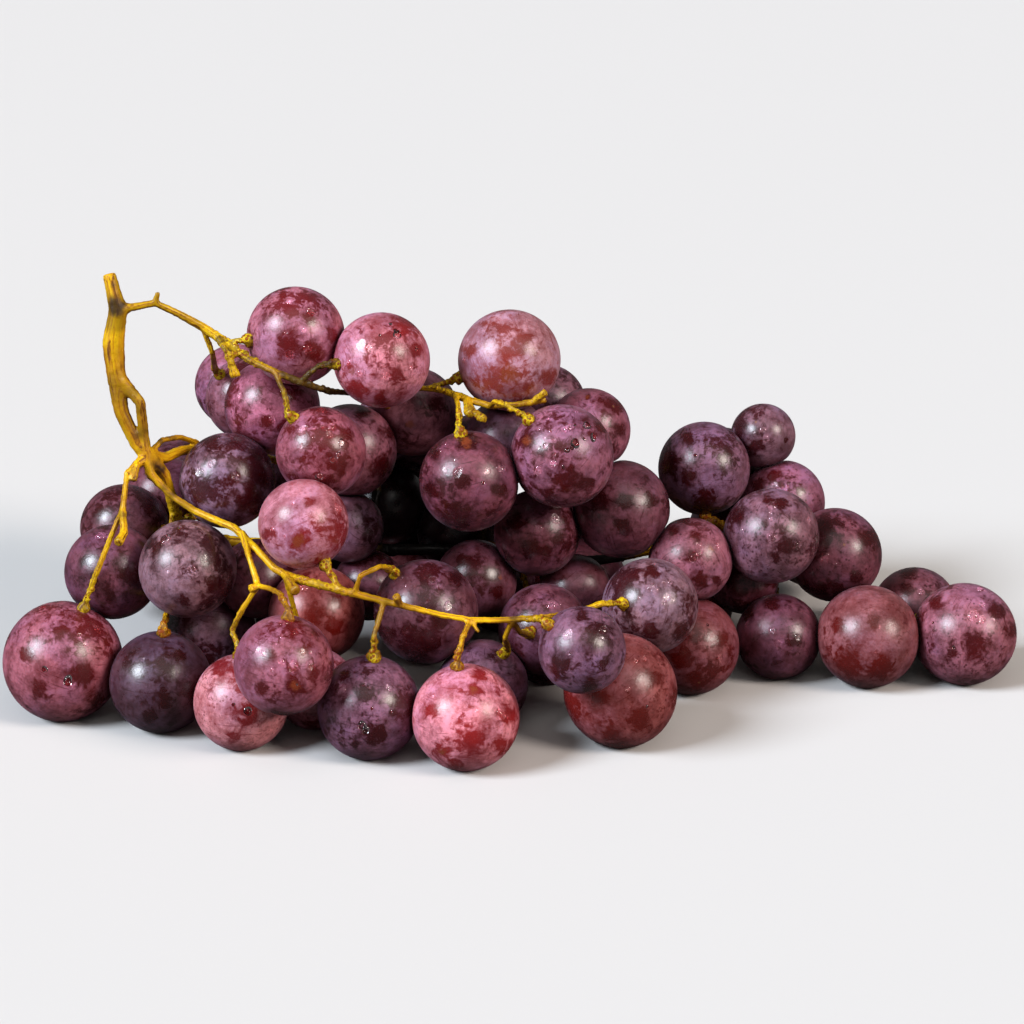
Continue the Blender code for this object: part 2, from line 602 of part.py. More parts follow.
def lay_out():
    """Places, radii and stalk directions of the berries, and the runs of the stem."""
    names = [berry.name for berry in SEEN_BERRIES]
    radii = np.array([berry.radius for berry in SEEN_BERRIES])
    on_table = [berry.back is ON_TABLE for berry in SEEN_BERRIES]
    homes = np.array([
        place_at_height(berry.column, berry.row, berry.radius * (1 - SURFACE_SINK))
        if berry.back is ON_TABLE else place_at_back(berry.column, berry.row, berry.back)
        for berry in SEEN_BERRIES])
    mobility = [seen_mobility(berry.column, berry.row) for berry in SEEN_BERRIES]

    ways = np.vstack([run_in_space(run.points) for run in RUNS.values()])
    places = settle(homes, radii, np.array(mobility), on_table, ways)
    runs = lead_runs({}, RUNS, places, radii)

    ways = np.vstack(list(runs.values()))
    places, radii = hidden_berries(places, radii, ways, runs["main"], random.Random(SEED))
    hidden = len(places) - len(names)
    mobility += [np.eye(3)] * hidden
    on_table += [place[2] < radius + NEAR_TABLE
                 for place, radius in zip(places[-hidden:], radii[-hidden:])]
    places = settle(places, radii, np.array(mobility), on_table, ways)
    runs = lead_runs({}, RUNS, places, radii)

    stalklets = {}
    poles = {}
    for name, (parent, *way) in SEEN_STALKLETS.items():
        own = names.index(name)
        start = place_at_back(*way[0])
        nearest = np.argmin(np.linalg.norm(runs[parent][:, :3] - start, axis=1))
        stalklets[own], poles[own] = seen_stalklet(
            way, runs[parent][nearest, :3], places[own], radii[own], places, radii)
    pending = [own for own in range(len(places)) if own not in stalklets]
    led, led_poles = lead_stalklets(pending, list(runs.values()), places, radii)
    stalklets.update(led)
    poles.update(led_poles)
    stubs = lead_runs(dict(runs), STUBS, places, radii)
    for name in STUBS:
        runs[name] = stubs[name]
    return places, radii, poles, runs, stalklets


def new_material(name, color, roughness):
    material = bpy.data.materials.new(name)
    material.use_nodes = True
    shader = material.node_tree.nodes["Principled BSDF"]
    shader.inputs["Base Color"].default_value = (*color, 1.0)
    shader.inputs["Roughness"].default_value = roughness
    shader.inputs["Metallic"].default_value = 0.0
    return material


def new_object(name, mesh_data):
    mesh = bpy.data.meshes.new(name)
    mesh_data.to_mesh(mesh)
    mesh_data.free()
    return bpy.data.objects.new(name, mesh)


def berry_object(index, place, radius, pole):
    """A faceted ball with one facet square to its stalklet, flat where it meets the table."""
    ball = bmesh.new()
    bmesh.ops.create_icosphere(ball, subdivisions=2, radius=radius * FACET_SWELL * MM)
    largest = max(ball.faces, key=lambda face: face.calc_area())
    turn = largest.normal.rotation_difference(Vector(pole))
    bmesh.ops.rotate(ball, verts=ball.verts, matrix=turn.to_matrix())
    bmesh.ops.translate(ball, verts=ball.verts, vec=Vector(place) * MM)
    if min(vert.co.z for vert in ball.verts) < 0:
        bmesh.ops.bisect_plane(
            ball, geom=[*ball.verts, *ball.edges, *ball.faces], dist=WELD_DISTANCE,
            plane_co=(0, 0, 0), plane_no=(0, 0, 1), clear_inner=True)
        rim = [edge for edge in ball.edges if edge.is_boundary]
        bmesh.ops.contextual_create(ball, geom=rim)
        bmesh.ops.recalc_face_normals(ball, faces=ball.faces)
    return new_object(f"berry_{index}", ball)


def tube_object(name, run, sides):
    """A closed tube through (x, y, z, radius) points in millimetres, with flat ends."""
    tube = bmesh.new()
    points = [Vector(point[:3]) * MM for point in run]
    ways = [(after - before).normalized()
            for before, after in zip([points[0], *points[:-1]], [*points[1:], points[-1]])]
    across = ways[0].orthogonal().normalized()
    rings = []
    for point, way, thickness in zip(points, ways, run[:, 3]):
        across = (across - way * across.dot(way)).normalized()
        beside = way.cross(across)
        ring = []
        for corner in range(sides):
            angle = 2 * math.pi * corner / sides
            reach = across * math.cos(angle) + beside * math.sin(angle)
            ring.append(tube.verts.new(point + reach * float(thickness) * MM))
        rings.append(ring)
    for ring, following in zip(rings, rings[1:]):
        for corner in range(sides):
            side = (corner + 1) % sides
            tube.faces.new((ring[corner], ring[side], following[side], following[corner]))
    tube.faces.new(rings[0][::-1])
    tube.faces.new(rings[-1])
    return new_object(name, tube)


def fuse(name, pieces, material, solver):
    """Join overlapping pieces into one solid with a single Boolean union."""
    base, *others = pieces
    bpy.context.scene.collection.objects.link(base)
    group = bpy.data.collections.new(name + "_pieces")
    bpy.context.scene.collection.children.link(group)
    for piece in others:
        group.objects.link(piece)
    union = base.modifiers.new("union", 'BOOLEAN')
    union.operation = 'UNION'
    union.operand_type = 'COLLECTION'
    union.collection = group
    union.solver = solver
    depsgraph = bpy.context.evaluated_depsgraph_get()
    mesh = bpy.data.meshes.new_from_object(base.evaluated_get(depsgraph))
    for piece in others:
        bpy.data.objects.remove(piece)
    bpy.data.collections.remove(group)
    bpy.data.objects.remove(base)
    mesh.name = name
    mesh.materials.clear()
    mesh.materials.append(material)
    mesh.shade_smooth()
    mesh.set_sharp_from_angle(angle=SHARP_ANGLE)
    solid = bpy.data.objects.new(name, mesh)
    bpy.context.scene.collection.objects.link(solid)
    return solid


def stand_on_origin(objects):
    """Move the meshes so that the origin is under the middle of the bunch, on the table."""
    corners = np.array([vert.co for obj in objects for vert in obj.data.vertices])
    low, high = corners.min(axis=0), corners.max(axis=0)
    shift = Vector((-(low[0] + high[0]) / 2, -(low[1] + high[1]) / 2, -low[2]))
    for obj in objects:
        for vert in obj.data.vertices:
            vert.co += shift


def build():
    for obj in list(bpy.data.objects):
        bpy.data.objects.remove(obj)
    places, radii, poles, runs, stalklets = lay_out()

    grape_skin = new_material("grape_skin", (0.16, 0.03, 0.055), 0.35)
    grape_stem = new_material("grape_stem", (0.55, 0.36, 0.06), 0.6)
    balls = [berry_object(index, place, radius, poles[index])
             for index, (place, radius) in enumerate(zip(places, radii))]
    berries = fuse("berries", balls, grape_skin, 'EXACT')
    tubes = [tube_object(name, thin_out(run, RUN_SPACING), RUN_SIDES.get(name, TWIG_SIDES))
             for name, run in runs.items()]
    tubes += [tube_object(f"stalklet_{own}", thin_stalklet(run), TWIG_SIDES)
              for own, run in stalklets.items()]
    stem = fuse("stem", tubes, grape_stem, 'MANIFOLD')
    stand_on_origin([berries, stem])


build()
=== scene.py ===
# A bunch of dark red table grapes on a pale floor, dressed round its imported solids.
# Lengths in the dictionaries are in millimetres and screen colours run from 0 to 255,
# as read off a monitor. A spot of the picture is (column, row) of a 1024 x 1024 frame.

import math
import random

import bmesh
import bpy
import numpy as np
from mathutils import Matrix, Vector, noise


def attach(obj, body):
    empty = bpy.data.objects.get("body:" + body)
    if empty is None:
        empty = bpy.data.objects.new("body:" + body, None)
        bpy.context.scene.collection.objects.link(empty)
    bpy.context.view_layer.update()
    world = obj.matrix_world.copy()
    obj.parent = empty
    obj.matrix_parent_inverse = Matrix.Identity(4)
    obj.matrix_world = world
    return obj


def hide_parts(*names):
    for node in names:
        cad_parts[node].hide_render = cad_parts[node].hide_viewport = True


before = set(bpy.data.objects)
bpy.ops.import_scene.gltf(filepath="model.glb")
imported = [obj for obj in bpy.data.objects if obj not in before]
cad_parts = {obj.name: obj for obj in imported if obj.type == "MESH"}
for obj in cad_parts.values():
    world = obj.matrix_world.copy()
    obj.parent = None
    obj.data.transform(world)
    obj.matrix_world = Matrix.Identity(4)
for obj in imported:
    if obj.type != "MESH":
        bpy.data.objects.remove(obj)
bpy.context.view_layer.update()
scene = bpy.context.scene
mm = 0.001

viewFrom = {
    "eye": (-1.27, -691.11, 309.0),     # where the lens is, over the floor
    "tiltDown": 21.0,                  # degrees
    "lens": 101.95,                    # for a sensor 36 wide
    "sensor": 36.0,
    "frameSide": 1024,
    "nearest": 10.0,                   # nothing nearer to the lens than this is drawn
}

floorLook = {
    "side": 30000.0,
    "color": (212, 211, 208),
    "bounce": (60, 56, 54),            # its tone as the berries get it, so that it fills less
    "rough": 0.7,
    "grain": 0.04,                     # how much its tone wanders
    "grainScale": 1.5,
    "grainColor": (0.6, 0.6, 0.6, 1.0),
}

# azimuth is measured from the lens, elevation from the floor, and wide is how large each
# soft light looks from the bunch, all in degrees
lightSet = {
    "leftLight": {"azimuth": -60, "elevation": 36, "wide": 22, "strength": 4.6,
                  "color": (0.82, 0.89, 1.0)},
    "rightLight": {"azimuth": 57, "elevation": 32, "wide": 20, "strength": 2.4,
                   "color": (1.0, 0.87, 0.80)},
    "topLight": {"azimuth": 5, "elevation": 60, "wide": 50, "strength": 0.5,
                 "color": (1.0, 0.98, 0.96)},
}
skyLight = {"color": (1.0, 1.0, 1.0), "strength": 0.11, "seen": 0.9}

ballShape = {
    "fineness": 5,                     # 5120 triangles a berry
    "swell": 1.03,                     # a frame berry's corners stand out this much
    "oblong": 0.022,                   # longer along the stalk by up to this part
    "lump": 0.006,                     # slow unevenness, as a part of the radius
    "waves": 4,                        # how many slow waves make it
    "stalkDent": 0.005,
    "stalkDentWidth": 0.17,            # radians
    "tipDent": 0.006,
    "tipDentWidth": 0.09,
    "seamGap": 0.04,                   # left between two berries that touch
    "seamSoftness": 0.22,
    "seamLook": 0.8,                   # berries further apart than this leave each other alone
    "seamRub": 1.2,                    # how far round a seam the bloom is rubbed
    "floorSoftness": 0.12,
}

# bloom is the waxy cover, rubbed the bare skin under it, both as screen colours.
# cover tells how much of the skin keeps its bloom, thick how opaque that is.
skinTones = {
    "bright": {"bloom": (234, 150, 162), "rubbed": (122, 28, 32), "cover": 0.66, "thick": 1.0},
    "pink": {"bloom": (216, 138, 154), "rubbed": (112, 26, 30), "cover": 0.66, "thick": 1.0},
    "pale": {"bloom": (198, 142, 152), "rubbed": (116, 46, 42), "cover": 0.68, "thick": 1.0},
    "rosy": {"bloom": (200, 122, 140), "rubbed": (86, 13, 17), "cover": 0.62, "thick": 1.0},
    "wine": {"bloom": (176, 100, 116), "rubbed": (76, 11, 14), "cover": 0.6, "thick": 0.98},
    "mauve": {"bloom": (166, 102, 120), "rubbed": (64, 8, 12), "cover": 0.6, "thick": 0.98},
    "dusky": {"bloom": (128, 72, 86), "rubbed": (48, 6, 9), "cover": 0.58, "thick": 0.96},
    "cold": {"bloom": (152, 110, 122), "rubbed": (50, 5, 9), "cover": 0.58, "thick": 1.0},
    "blue": {"bloom": (142, 98, 116), "rubbed": (48, 5, 9), "cover": 0.6, "thick": 0.98},
    "deep": {"bloom": (96, 62, 76), "rubbed": (38, 5, 8), "cover": 0.6, "thick": 0.96},
    "brown": {"bloom": (150, 86, 92), "rubbed": (76, 12, 9), "cover": 0.56, "thick": 0.94},
    "rust": {"bloom": (170, 90, 90), "rubbed": (90, 17, 11), "cover": 0.56, "thick": 0.94},
    # painted shade: the berries in the dark middle take this near-black tone because they lie in
    # shadow
    "shadedInside": {"bloom": (50, 30, 38), "rubbed": (20, 6, 9), "cover": 0.5, "thick": 0.6},
}

# Where a berry shows in the picture, its tone, and how many drops lie on it.
berryLooks = {
    "topLeft": ((292, 333), "rosy", 6), "topMiddle": ((384, 363), "pink", 13),
    "shoulderBack": ((237, 386), "mauve", 0), "shoulderMid": ((247, 399), "mauve", 0),
    "shoulderFront": ((268, 409), "rosy", 7), "upperLeftFront": ((321, 450), "wine", 14),
    "upperLeftBehind": ((352, 449), "mauve", 0), "leftDark": ((225, 477), "cold", 6),
    "centreLeft": ((299, 530), "pink", 4), "leftLowDark": ((188, 568), "cold", 5),
    "centreSmall": ((347, 531), "blue", 0), "centreLow": ((424, 609), "dusky", 12),
    "centreHigh": ((460, 483), "dusky", 12), "topGap": ((415, 410), "mauve", 2),
    "summit": ((509, 362), "pale", 1), "rightHigh": ((566, 455), "mauve", 22),
    "rightHighBehind": ((507, 440), "blue", 0), "rightShoulder": ((587, 424), "mauve", 2),
    "summitBehind": ((545, 405), "blue", 0), "centreDark": ((538, 531), "dusky", 3),
    "rightDark": ((619, 510), "dusky", 5), "centreShade": ((478, 582), "dusky", 0),
    "lowMiddle": ((546, 627), "dusky", 4), "lowMiddleBack": ((482, 688), "blue", 0),
    "front": ((471, 719), "bright", 3), "frontLeft": ((366, 711), "blue", 9),
    "frontLeftHigh": ((284, 665), "wine", 20), "frontLeftPale": ((245, 702), "bright", 2),
    "leftTableDark": ((161, 681), "deep", 3), "leftEnd": ((58, 662), "wine", 6),
    "leftSideLow": ((113, 570), "dusky", 2), "leftSideHigh": ((125, 528), "dusky", 0),
    "leftSideBehind": ((165, 495), "dusky", 0), "leftTopBehind": ((180, 480), "dusky", 0),
    "leftUnder": ((203, 625), "blue", 0), "leftInner": ((256, 573), "dusky", 0),
    "lowLeft": ((320, 613), "rust", 2), "lowLeftBehind": ((368, 588), "dusky", 0),
    "frontLeftUnder": ((312, 690), "rosy", 0), "frontRightSmall": ((582, 650), "blue", 5),
    "frontRight": ((620, 692), "rust", 6), "rightLow": ((650, 605), "cold", 9),
    "rightTable": ((691, 653), "brown", 3), "rightMiddle": ((692, 559), "mauve", 8),
    "tailTopDark": ((704, 468), "blue", 1), "tailTopSmall": ((763, 436), "blue", 4),
    "tailUpper": ((783, 502), "mauve", 4), "tailMiddle": ((775, 534), "blue", 8),
    "tailRight": ((835, 555), "dusky", 3), "tailTable": ((773, 628), "dusky", 6),
    "endFront": ((866, 640), "brown", 2), "endBack": ((914, 606), "dusky", 3),
    "rightEnd": ((970, 633), "mauve", 7), "tailInner": ((745, 580), "dusky", 0),
    "centreInner": ((575, 590), "dusky", 0), "lowMiddleUnder": ((547, 647), "dusky", 0),
    "insideHigh": ((398, 480), "shadedInside", 0), "insideLow": ((418, 533), "shadedInside", 0),
    "insideLeft": ((378, 500), "shadedInside", 0), "insideRight": ((462, 531), "shadedInside", 0),
}
hiddenTones = ("mauve", "dusky", "blue", "brown", "dusky")
matchWithin = 16                       # pixels between a berry and its spot in the picture
nearerWorth = 200                      # pixels that being a metre nearer is worth in a match
toneWander = 0.07                      # how far each berry's bloom strays from its tone
coverWander = 0.06
tipDots = 0.4                          # the share of berries that have a dry dot at the tip

# Patches where the bloom is rubbed off: (column, row, reach) in pixels of the picture.
rubbedMarks = {
    # The large patches on leftDark's right half stand for rubbed skin and for painted shade from its
    # neighbour as well.
    "leftDark": ((229, 482, 7), (262, 470, 25), (252, 500, 19), (212, 441, 11), (238, 438, 12),
                 (192, 450, 6)),
    "leftLowDark": ((155, 546, 9), (175, 543, 5), (205, 560, 7), (222, 590, 13), (185, 600, 8)),
    "centreLeft": ((299, 540, 11), (268, 535, 6), (338, 528, 8), (310, 502, 6), (318, 562, 6)),
    "topLeft": ((284, 296, 6), (290, 345, 14), (312, 352, 12), (308, 318, 7), (332, 335, 7)),
    "shoulderFront": ((226, 403, 6), (266, 421, 7), (284, 428, 11), (290, 395, 9)),
    "upperLeftFront": ((303, 460, 5), (339, 462, 13), (322, 486, 10), (346, 435, 7),
                       (290, 430, 6)),
    "upperLeftBehind": ((390, 432, 9), (380, 466, 12), (362, 414, 7)),
    "topMiddle": ((403, 325, 12), (357, 392, 12), (397, 377, 9), (418, 350, 8), (380, 398, 8)),
    "summit": ((524, 339, 9), (469, 351, 7), (506, 356, 8), (528, 387, 7), (549, 378, 9),
               (492, 322, 4)),
    "centreHigh": ((466, 443, 10), (434, 453, 7), (463, 480, 9), (499, 491, 9), (455, 516, 18),
                   (430, 490, 8)),
    "rightHigh": ((527, 441, 8), (566, 480, 17), (541, 453, 6), (602, 426, 7), (550, 496, 9),
                  (588, 484, 8)),
    "rightShoulder": ((602, 401, 6), (616, 405, 8), (588, 397, 3), (620, 430, 7)),
    "rightDark": ((623, 526, 9), (625, 500, 9), (598, 500, 14), (650, 500, 7)),
    "centreDark": ((532, 548, 11), (545, 552, 7), (515, 520, 12), (560, 540, 7)),
    "centreShade": ((462, 560, 8), (497, 592, 7), (490, 575, 8)),
    "frontLeftHigh": ((295, 685, 11), (293, 628, 12), (316, 671, 9), (272, 655, 6),
                      (262, 690, 7), (304, 650, 6)),
    "frontLeftPale": ((249, 712, 14), (218, 667, 9), (232, 735, 7)),
    "frontLeft": ((366, 692, 11), (376, 734, 14), (402, 703, 16), (345, 676, 8), (355, 745, 6)),
    "centreLow": ((392, 633, 7), (422, 640, 20), (456, 577, 9), (440, 622, 9), (400, 600, 6)),
    "lowLeft": ((314, 614, 10), (336, 602, 8), (335, 625, 10)),
    "front": ((431, 711, 9), (442, 751, 9), (472, 740, 13), (475, 690, 8), (480, 674, 8),
              (508, 715, 10), (500, 745, 9), (455, 765, 7)),
    "leftEnd": ((60, 632, 10), (80, 675, 14), (40, 690, 10), (25, 655, 7), (95, 700, 9)),
    "leftTableDark": ((180, 655, 9), (165, 700, 10), (135, 670, 8), (190, 690, 12),
                      (150, 715, 8)),
    "leftSideLow": ((86, 560, 7), (130, 575, 12), (112, 595, 8)),
    "leftSideHigh": ((100, 512, 8), (150, 505, 10)),
    "tailTopDark": ((687, 437, 8), (688, 476, 9), (669, 463, 13), (704, 500, 13), (728, 452, 6)),
    "tailTopSmall": ((753, 447, 10), (786, 440, 3)),
    "tailMiddle": ((735, 515, 11), (770, 500, 7), (781, 503, 8), (786, 546, 11), (776, 557, 7),
                   (803, 498, 9), (765, 524, 5)),
    "rightMiddle": ((695, 537, 7), (691, 556, 8), (702, 581, 9), (717, 581, 6), (672, 531, 6)),
    "tailUpper": ((772, 476, 8), (757, 484, 8), (800, 490, 6)),
    "tailRight": ((826, 527, 9), (869, 540, 11), (855, 577, 7), (838, 590, 9)),
    "endFront": ((872, 622, 8), (850, 664, 16), (880, 668, 15), (838, 625, 8)),
    "rightEnd": ((937, 603, 8), (976, 646, 13), (997, 611, 9), (1012, 630, 8), (950, 655, 7)),
    "endBack": ((909, 572, 9), (908, 588, 7), (932, 600, 7)),
    "tailTable": ((770, 603, 9), (748, 611, 9), (776, 592, 5), (795, 640, 9)),
    "rightTable": ((682, 659, 12), (695, 680, 12), (722, 640, 8)),
    "rightLow": ((652, 571, 9), (650, 631, 9), (683, 633, 11), (625, 590, 8)),
    "frontRight": ((600, 700, 10), (640, 720, 14), (655, 680, 9), (610, 735, 9)),
    "frontRightSmall": ((598, 634, 15), (560, 668, 12), (590, 686, 9), (582, 616, 7)),
}
# Russet places, and the berries with many pin pricks.
russetMarks = {
    "summit": ((510, 375, 11),), "centreHigh": ((466, 442, 6),), "rightHigh": ((527, 441, 5),),
    "centreLeft": ((299, 541, 8),), "topMiddle": ((352, 372, 4),), "rightShoulder": ((587, 397, 3),),
    "frontLeftHigh": ((295, 686, 6),), "front": ((474, 690, 5), (442, 752, 5)),
    "topGap": ((411, 424, 5),), "rightMiddle": ((711, 549, 3),), "centreShade": ((500, 577, 3),),
}
prickedBerries = ("rightEnd", "tailRight", "tailMiddle", "rightMiddle", "endBack", "tailUpper",
                  "upperLeftBehind", "frontLeftPale", "frontRight")

dropLook = {
    "radius": (0.35, 1.4),
    "height": 0.58,                    # as a part of the radius
    "sunk": 0.05,                      # how deep the rim lies in the skin
    "wetAside": 0.25,                  # the wet side is the lens's, a little aside and above
    "wetAbove": (0.1, 0.75),
    "spread": 0.62,                    # how far the drops stray from the wet side, radians
    "leastFacing": 0.15,
    "long": (1.0, 1.35),               # length to width
    "wobble": (0.08, 0.05),            # how far the rim strays from round
    "rimRings": 2.5,                   # the painted dark rim fades over so many rings
    "sides": 20,
    "rings": 7,
    "edge": (104, 26, 28),             # painted shade: the dark line round a drop, screen colour
}

stemShape = {
    "voxel": 0.34,
    "triangles": 185000,
    "smoothing": 11,
    "stalkRounding": 60,               # more smoothing for the thick cut stalk
    "stalkSwell": 0.26,
    "swell": 0.08,                     # gives back what smoothing takes
    "ridge": 0.1,                      # fine bumps all over
    "ridges": (900, 2100),             # broad and fine ones to the metre
    "wart": 0.8,                       # round bumps on the stalklets and their ends
    "wartsApart": 1.3,
    "twigReach": 9.0,                  # how far up a stalklet the warts run
    "cupReach": 1.7,
    "cupSwell": 0.5,
}

# Where the thick stalk shows, as columns and rows of the picture.
stalkZone = {"column": 134, "cutRow": 280, "slitRow": 385, "lowRow": 455}

# Darker spots of the stem, and painted shade where the branch lies in the dark middle (the inside
# ones): where they show in the picture, how far they reach, how dark.
stemSpotsAndShade = {
    "cutSmudge": ((117, 297), 2.4, 0.72), "cutSmudgeLow": ((114, 311), 2.4, 0.58),
    "cutTop": ((108, 282), 2.6, 0.34), "cutKnot": ((125, 390), 2.0, 0.44),
    "armHigh": ((142, 415), 3.6, 0.36), "armLow": ((141, 446), 4.6, 0.4),
    "leftBrown": ((121, 505), 4.0, 0.42), "leftTwist": ((111, 545), 4.0, 0.48),
    "leftTip": ((97, 580), 3.0, 0.36), "leftKnot": ((135, 465), 2.2, 0.55),
    "leftKnotLow": ((128, 480), 2.2, 0.5),
    "ringKnot": ((166, 470), 3.0, 0.6), "ringBack": ((175, 440), 4.0, 0.5),
    "forkLow": ((160, 490), 4.0, 0.5), "upperFork": ((216, 334), 1.8, 0.55),
    "upperKnot": ((226, 340), 2.4, 0.5), "upperBrown": ((246, 345), 4.0, 0.42),
    "upperTwist": ((272, 358), 6.0, 0.6), "upperDark": ((300, 372), 8.0, 0.72),
    "upperFar": ((340, 392), 8.0, 0.85), "upperEnd": ((362, 393), 7.0, 0.9),
    "lowerFork": ((508, 619), 1.8, 0.55), "lowerRoot": ((471, 621), 1.8, 0.55),
    "lowerKnot": ((396, 601), 1.8, 0.4), "lowerBend": ((285, 572), 2.4, 0.42),
    # painted shade: the inside ones blacken the branch where it lies in shadow
    "insideLeft": ((400, 550), 10.0, 1.0), "insideMiddle": ((440, 550), 10.0, 1.0),
    "insideRight": ((600, 556), 12.0, 1.0), "insideRiser": ((374, 505), 9.0, 1.0),
}


def screenColor(red, green, blue):     # screen colour to the linear one that shaders take
    return tuple((value / 255 / 12.92) if value <= 10 else ((value / 255 + 0.055) / 1.055) ** 2.4
                 for value in (red, green, blue))


def opaque(color):                     # the same with a fourth number, for a shader's socket
    return (*screenColor(*color), 1.0)


def unit(vectors):
    vectors = np.asarray(vectors, dtype=float)
    return vectors / np.linalg.norm(vectors, axis=-1, keepdims=True)


eye = np.array(viewFrom["eye"]) * mm
tilt = math.radians(viewFrom["tiltDown"])
lookAhead = np.array((0.0, math.cos(tilt), -math.sin(tilt)))
lookUp = np.array((0.0, math.sin(tilt), math.cos(tilt)))


def pictureSpot(places):               # column and row at which the lens sees each place
    sights = np.atleast_2d(places) - eye
    ahead = sights @ lookAhead
    scale = viewFrom["lens"] / viewFrom["sensor"] * viewFrom["frameSide"] / ahead
    middle = viewFrom["frameSide"] / 2
    return np.stack((middle + sights[:, 0] * scale, middle - sights @ lookUp * scale), axis=1)


def weldedSurface(node):               # corners and triangles of a solid of the frame
    solid = bmesh.new()
    solid.from_mesh(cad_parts[node].data)
    bmesh.ops.remove_doubles(solid, verts=solid.verts, dist=0.000002)
    bmesh.ops.triangulate(solid, faces=solid.faces)
    corners = np.array([vert.co[:] for vert in solid.verts])
    triangles = np.array([[vert.index for vert in face.verts] for face in solid.faces])
    solid.free()
    return corners, triangles


# A berry of the frame is a ball of 80 facets in two shapes, and the long side of both is
# 0.618 of the ball's reach. So each whole facet tells where the ball's middle is.
facetSide = (math.sqrt(5) - 1) / 2
slimSide = 0.88431                     # short side to long side of the slim facets


def findBerries():
    corners, triangles = weldedSurface("berries")
    first, second, third = (corners[triangles[:, index]] for index in range(3))
    sides = np.sort(np.linalg.norm(
        np.stack((third - second, first - third, second - first), axis=1), axis=2), axis=1)
    shape = sides[:, :2] / sides[:, 2:]
    whole = (np.abs(shape - 1).max(axis=1) < 0.002) | (np.abs(shape - slimSide).max(axis=1) < 0.002)
    across = np.cross(second - first, third - first)
    area = np.linalg.norm(across, axis=1) / 2
    ring = sides.prod(axis=1) / (4 * area)
    reach = sides[:, 2] / facetSide
    along = second - first
    over = third - first
    overPart = (np.sum(over ** 2, axis=1) / (8 * area ** 2))[:, None]
    alongPart = (np.sum(along ** 2, axis=1) / (8 * area ** 2))[:, None]
    middle = first + np.cross(across, along) * overPart + np.cross(over, across) * alongPart
    deep = np.sqrt(np.maximum(reach ** 2 - ring ** 2, 0))
    guesses = middle - unit(across) * deep[:, None]
    found = []
    for guess, size in zip(guesses[whole], reach[whole]):
        for berry in found:
            if np.linalg.norm(berry["middle"] - guess) < 0.0002:
                berry["votes"] += 1
                break
        else:
            found.append({"middle": guess, "radius": size / ballShape["swell"], "votes": 1})
    return [berry for berry in found if berry["votes"] > 1]


def findStalks(berries):               # the way from each berry's middle to its stalklet
    corners, _ = weldedSurface("stem")
    for berry in berries:
        offsets = corners - berry["middle"]
        near = np.linalg.norm(offsets, axis=1) < berry["radius"] * 1.02
        berry["stalk"] = unit(offsets[near].mean(axis=0)) if near.any() else np.array((0, 0, 1.0))
        berry["joined"] = bool(near.any())


def nameBerries(berries):              # match each berry to its spot in the picture
    spots = pictureSpot(np.array([berry["middle"] for berry in berries]))
    nearness = [np.linalg.norm(berry["middle"] - eye) for berry in berries]
    free = set(range(len(berries)))
    for name, (spot, tone, drops) in berryLooks.items():
        close = [index for index in free
                 if np.linalg.norm(spots[index] - spot) < matchWithin]
        if not close:
            print("no berry at", name)
            continue
        best = min(close, key=lambda index: np.linalg.norm(spots[index] - spot)
                   + (nearness[index] - min(nearness)) * nearerWorth)
        free.discard(best)
        berries[best].update(name=name, tone=tone, drops=drops)
    for count, index in enumerate(sorted(free)):
        berries[index].update(name=f"hidden{count + 1}", drops=0,
                              tone=hiddenTones[count % len(hiddenTones)])


def meshPiece(name, corners, faces, material):
    mesh = bpy.data.meshes.new(name)
    mesh.from_pydata([tuple(corner) for corner in corners], [], [tuple(face) for face in faces])
    mesh.materials.append(material)
    mesh.shade_smooth()
    piece = bpy.data.objects.new(name, mesh)
    scene.collection.objects.link(piece)
    return piece


def addNumbers(piece, name, values):   # one number for a whole piece, or one for each corner
    layer = piece.data.attributes.new(name, 'FLOAT', 'POINT')
    numbers = np.empty(len(piece.data.vertices), dtype=np.float32)
    numbers[:] = values
    layer.data.foreach_set("value", numbers)


def addVectors(piece, name, values):
    layer = piece.data.attributes.new(name, 'FLOAT_VECTOR', 'POINT')
    layer.data.foreach_set("vector", np.asarray(values, dtype=np.float32).ravel())


def addTint(piece, name, color):       # one colour for a whole piece, or one for each corner
    layer = piece.data.attributes.new(name, 'FLOAT_COLOR', 'POINT')
    colors = np.ones((len(piece.data.vertices), 4), dtype=np.float32)
    colors[:, :3] = color
    layer.data.foreach_set("color", colors.ravel())


def softLeast(values, limit, softness):
    return limit - softness * np.logaddexp(0, (limit - values) / softness)


def stalkTurn(stalk, roll):            # turns +Z to the stalk
    turn = Vector((0, 0, 1)).rotation_difference(Vector(stalk)).to_matrix()
    return turn @ Matrix.Rotation(roll, 3, 'Z')


def ballTemplate():
    ball = bmesh.new()
    bmesh.ops.create_icosphere(ball, subdivisions=ballShape["fineness"], radius=1.0)
    corners = np.array([vert.co[:] for vert in ball.verts])
    faces = [[vert.index for vert in face.verts] for face in ball.faces]
    ball.free()
    return unit(corners), faces


def markField(berry, outward, places, marks):    # 1 in the middle of a mark, 0.5 at its edge
    field = np.zeros(len(places))
    seen = outward @ unit(eye - berry["middle"]) > 0
    spots = pictureSpot(places + berry["middle"])
    for column, row, reach in marks.get(berry["name"], ()):
        away = np.linalg.norm(spots - (column, row), axis=1) / reach
        field = np.maximum(field, np.where(seen, np.clip(1 - away / 2, 0, 1), 0))
    return field


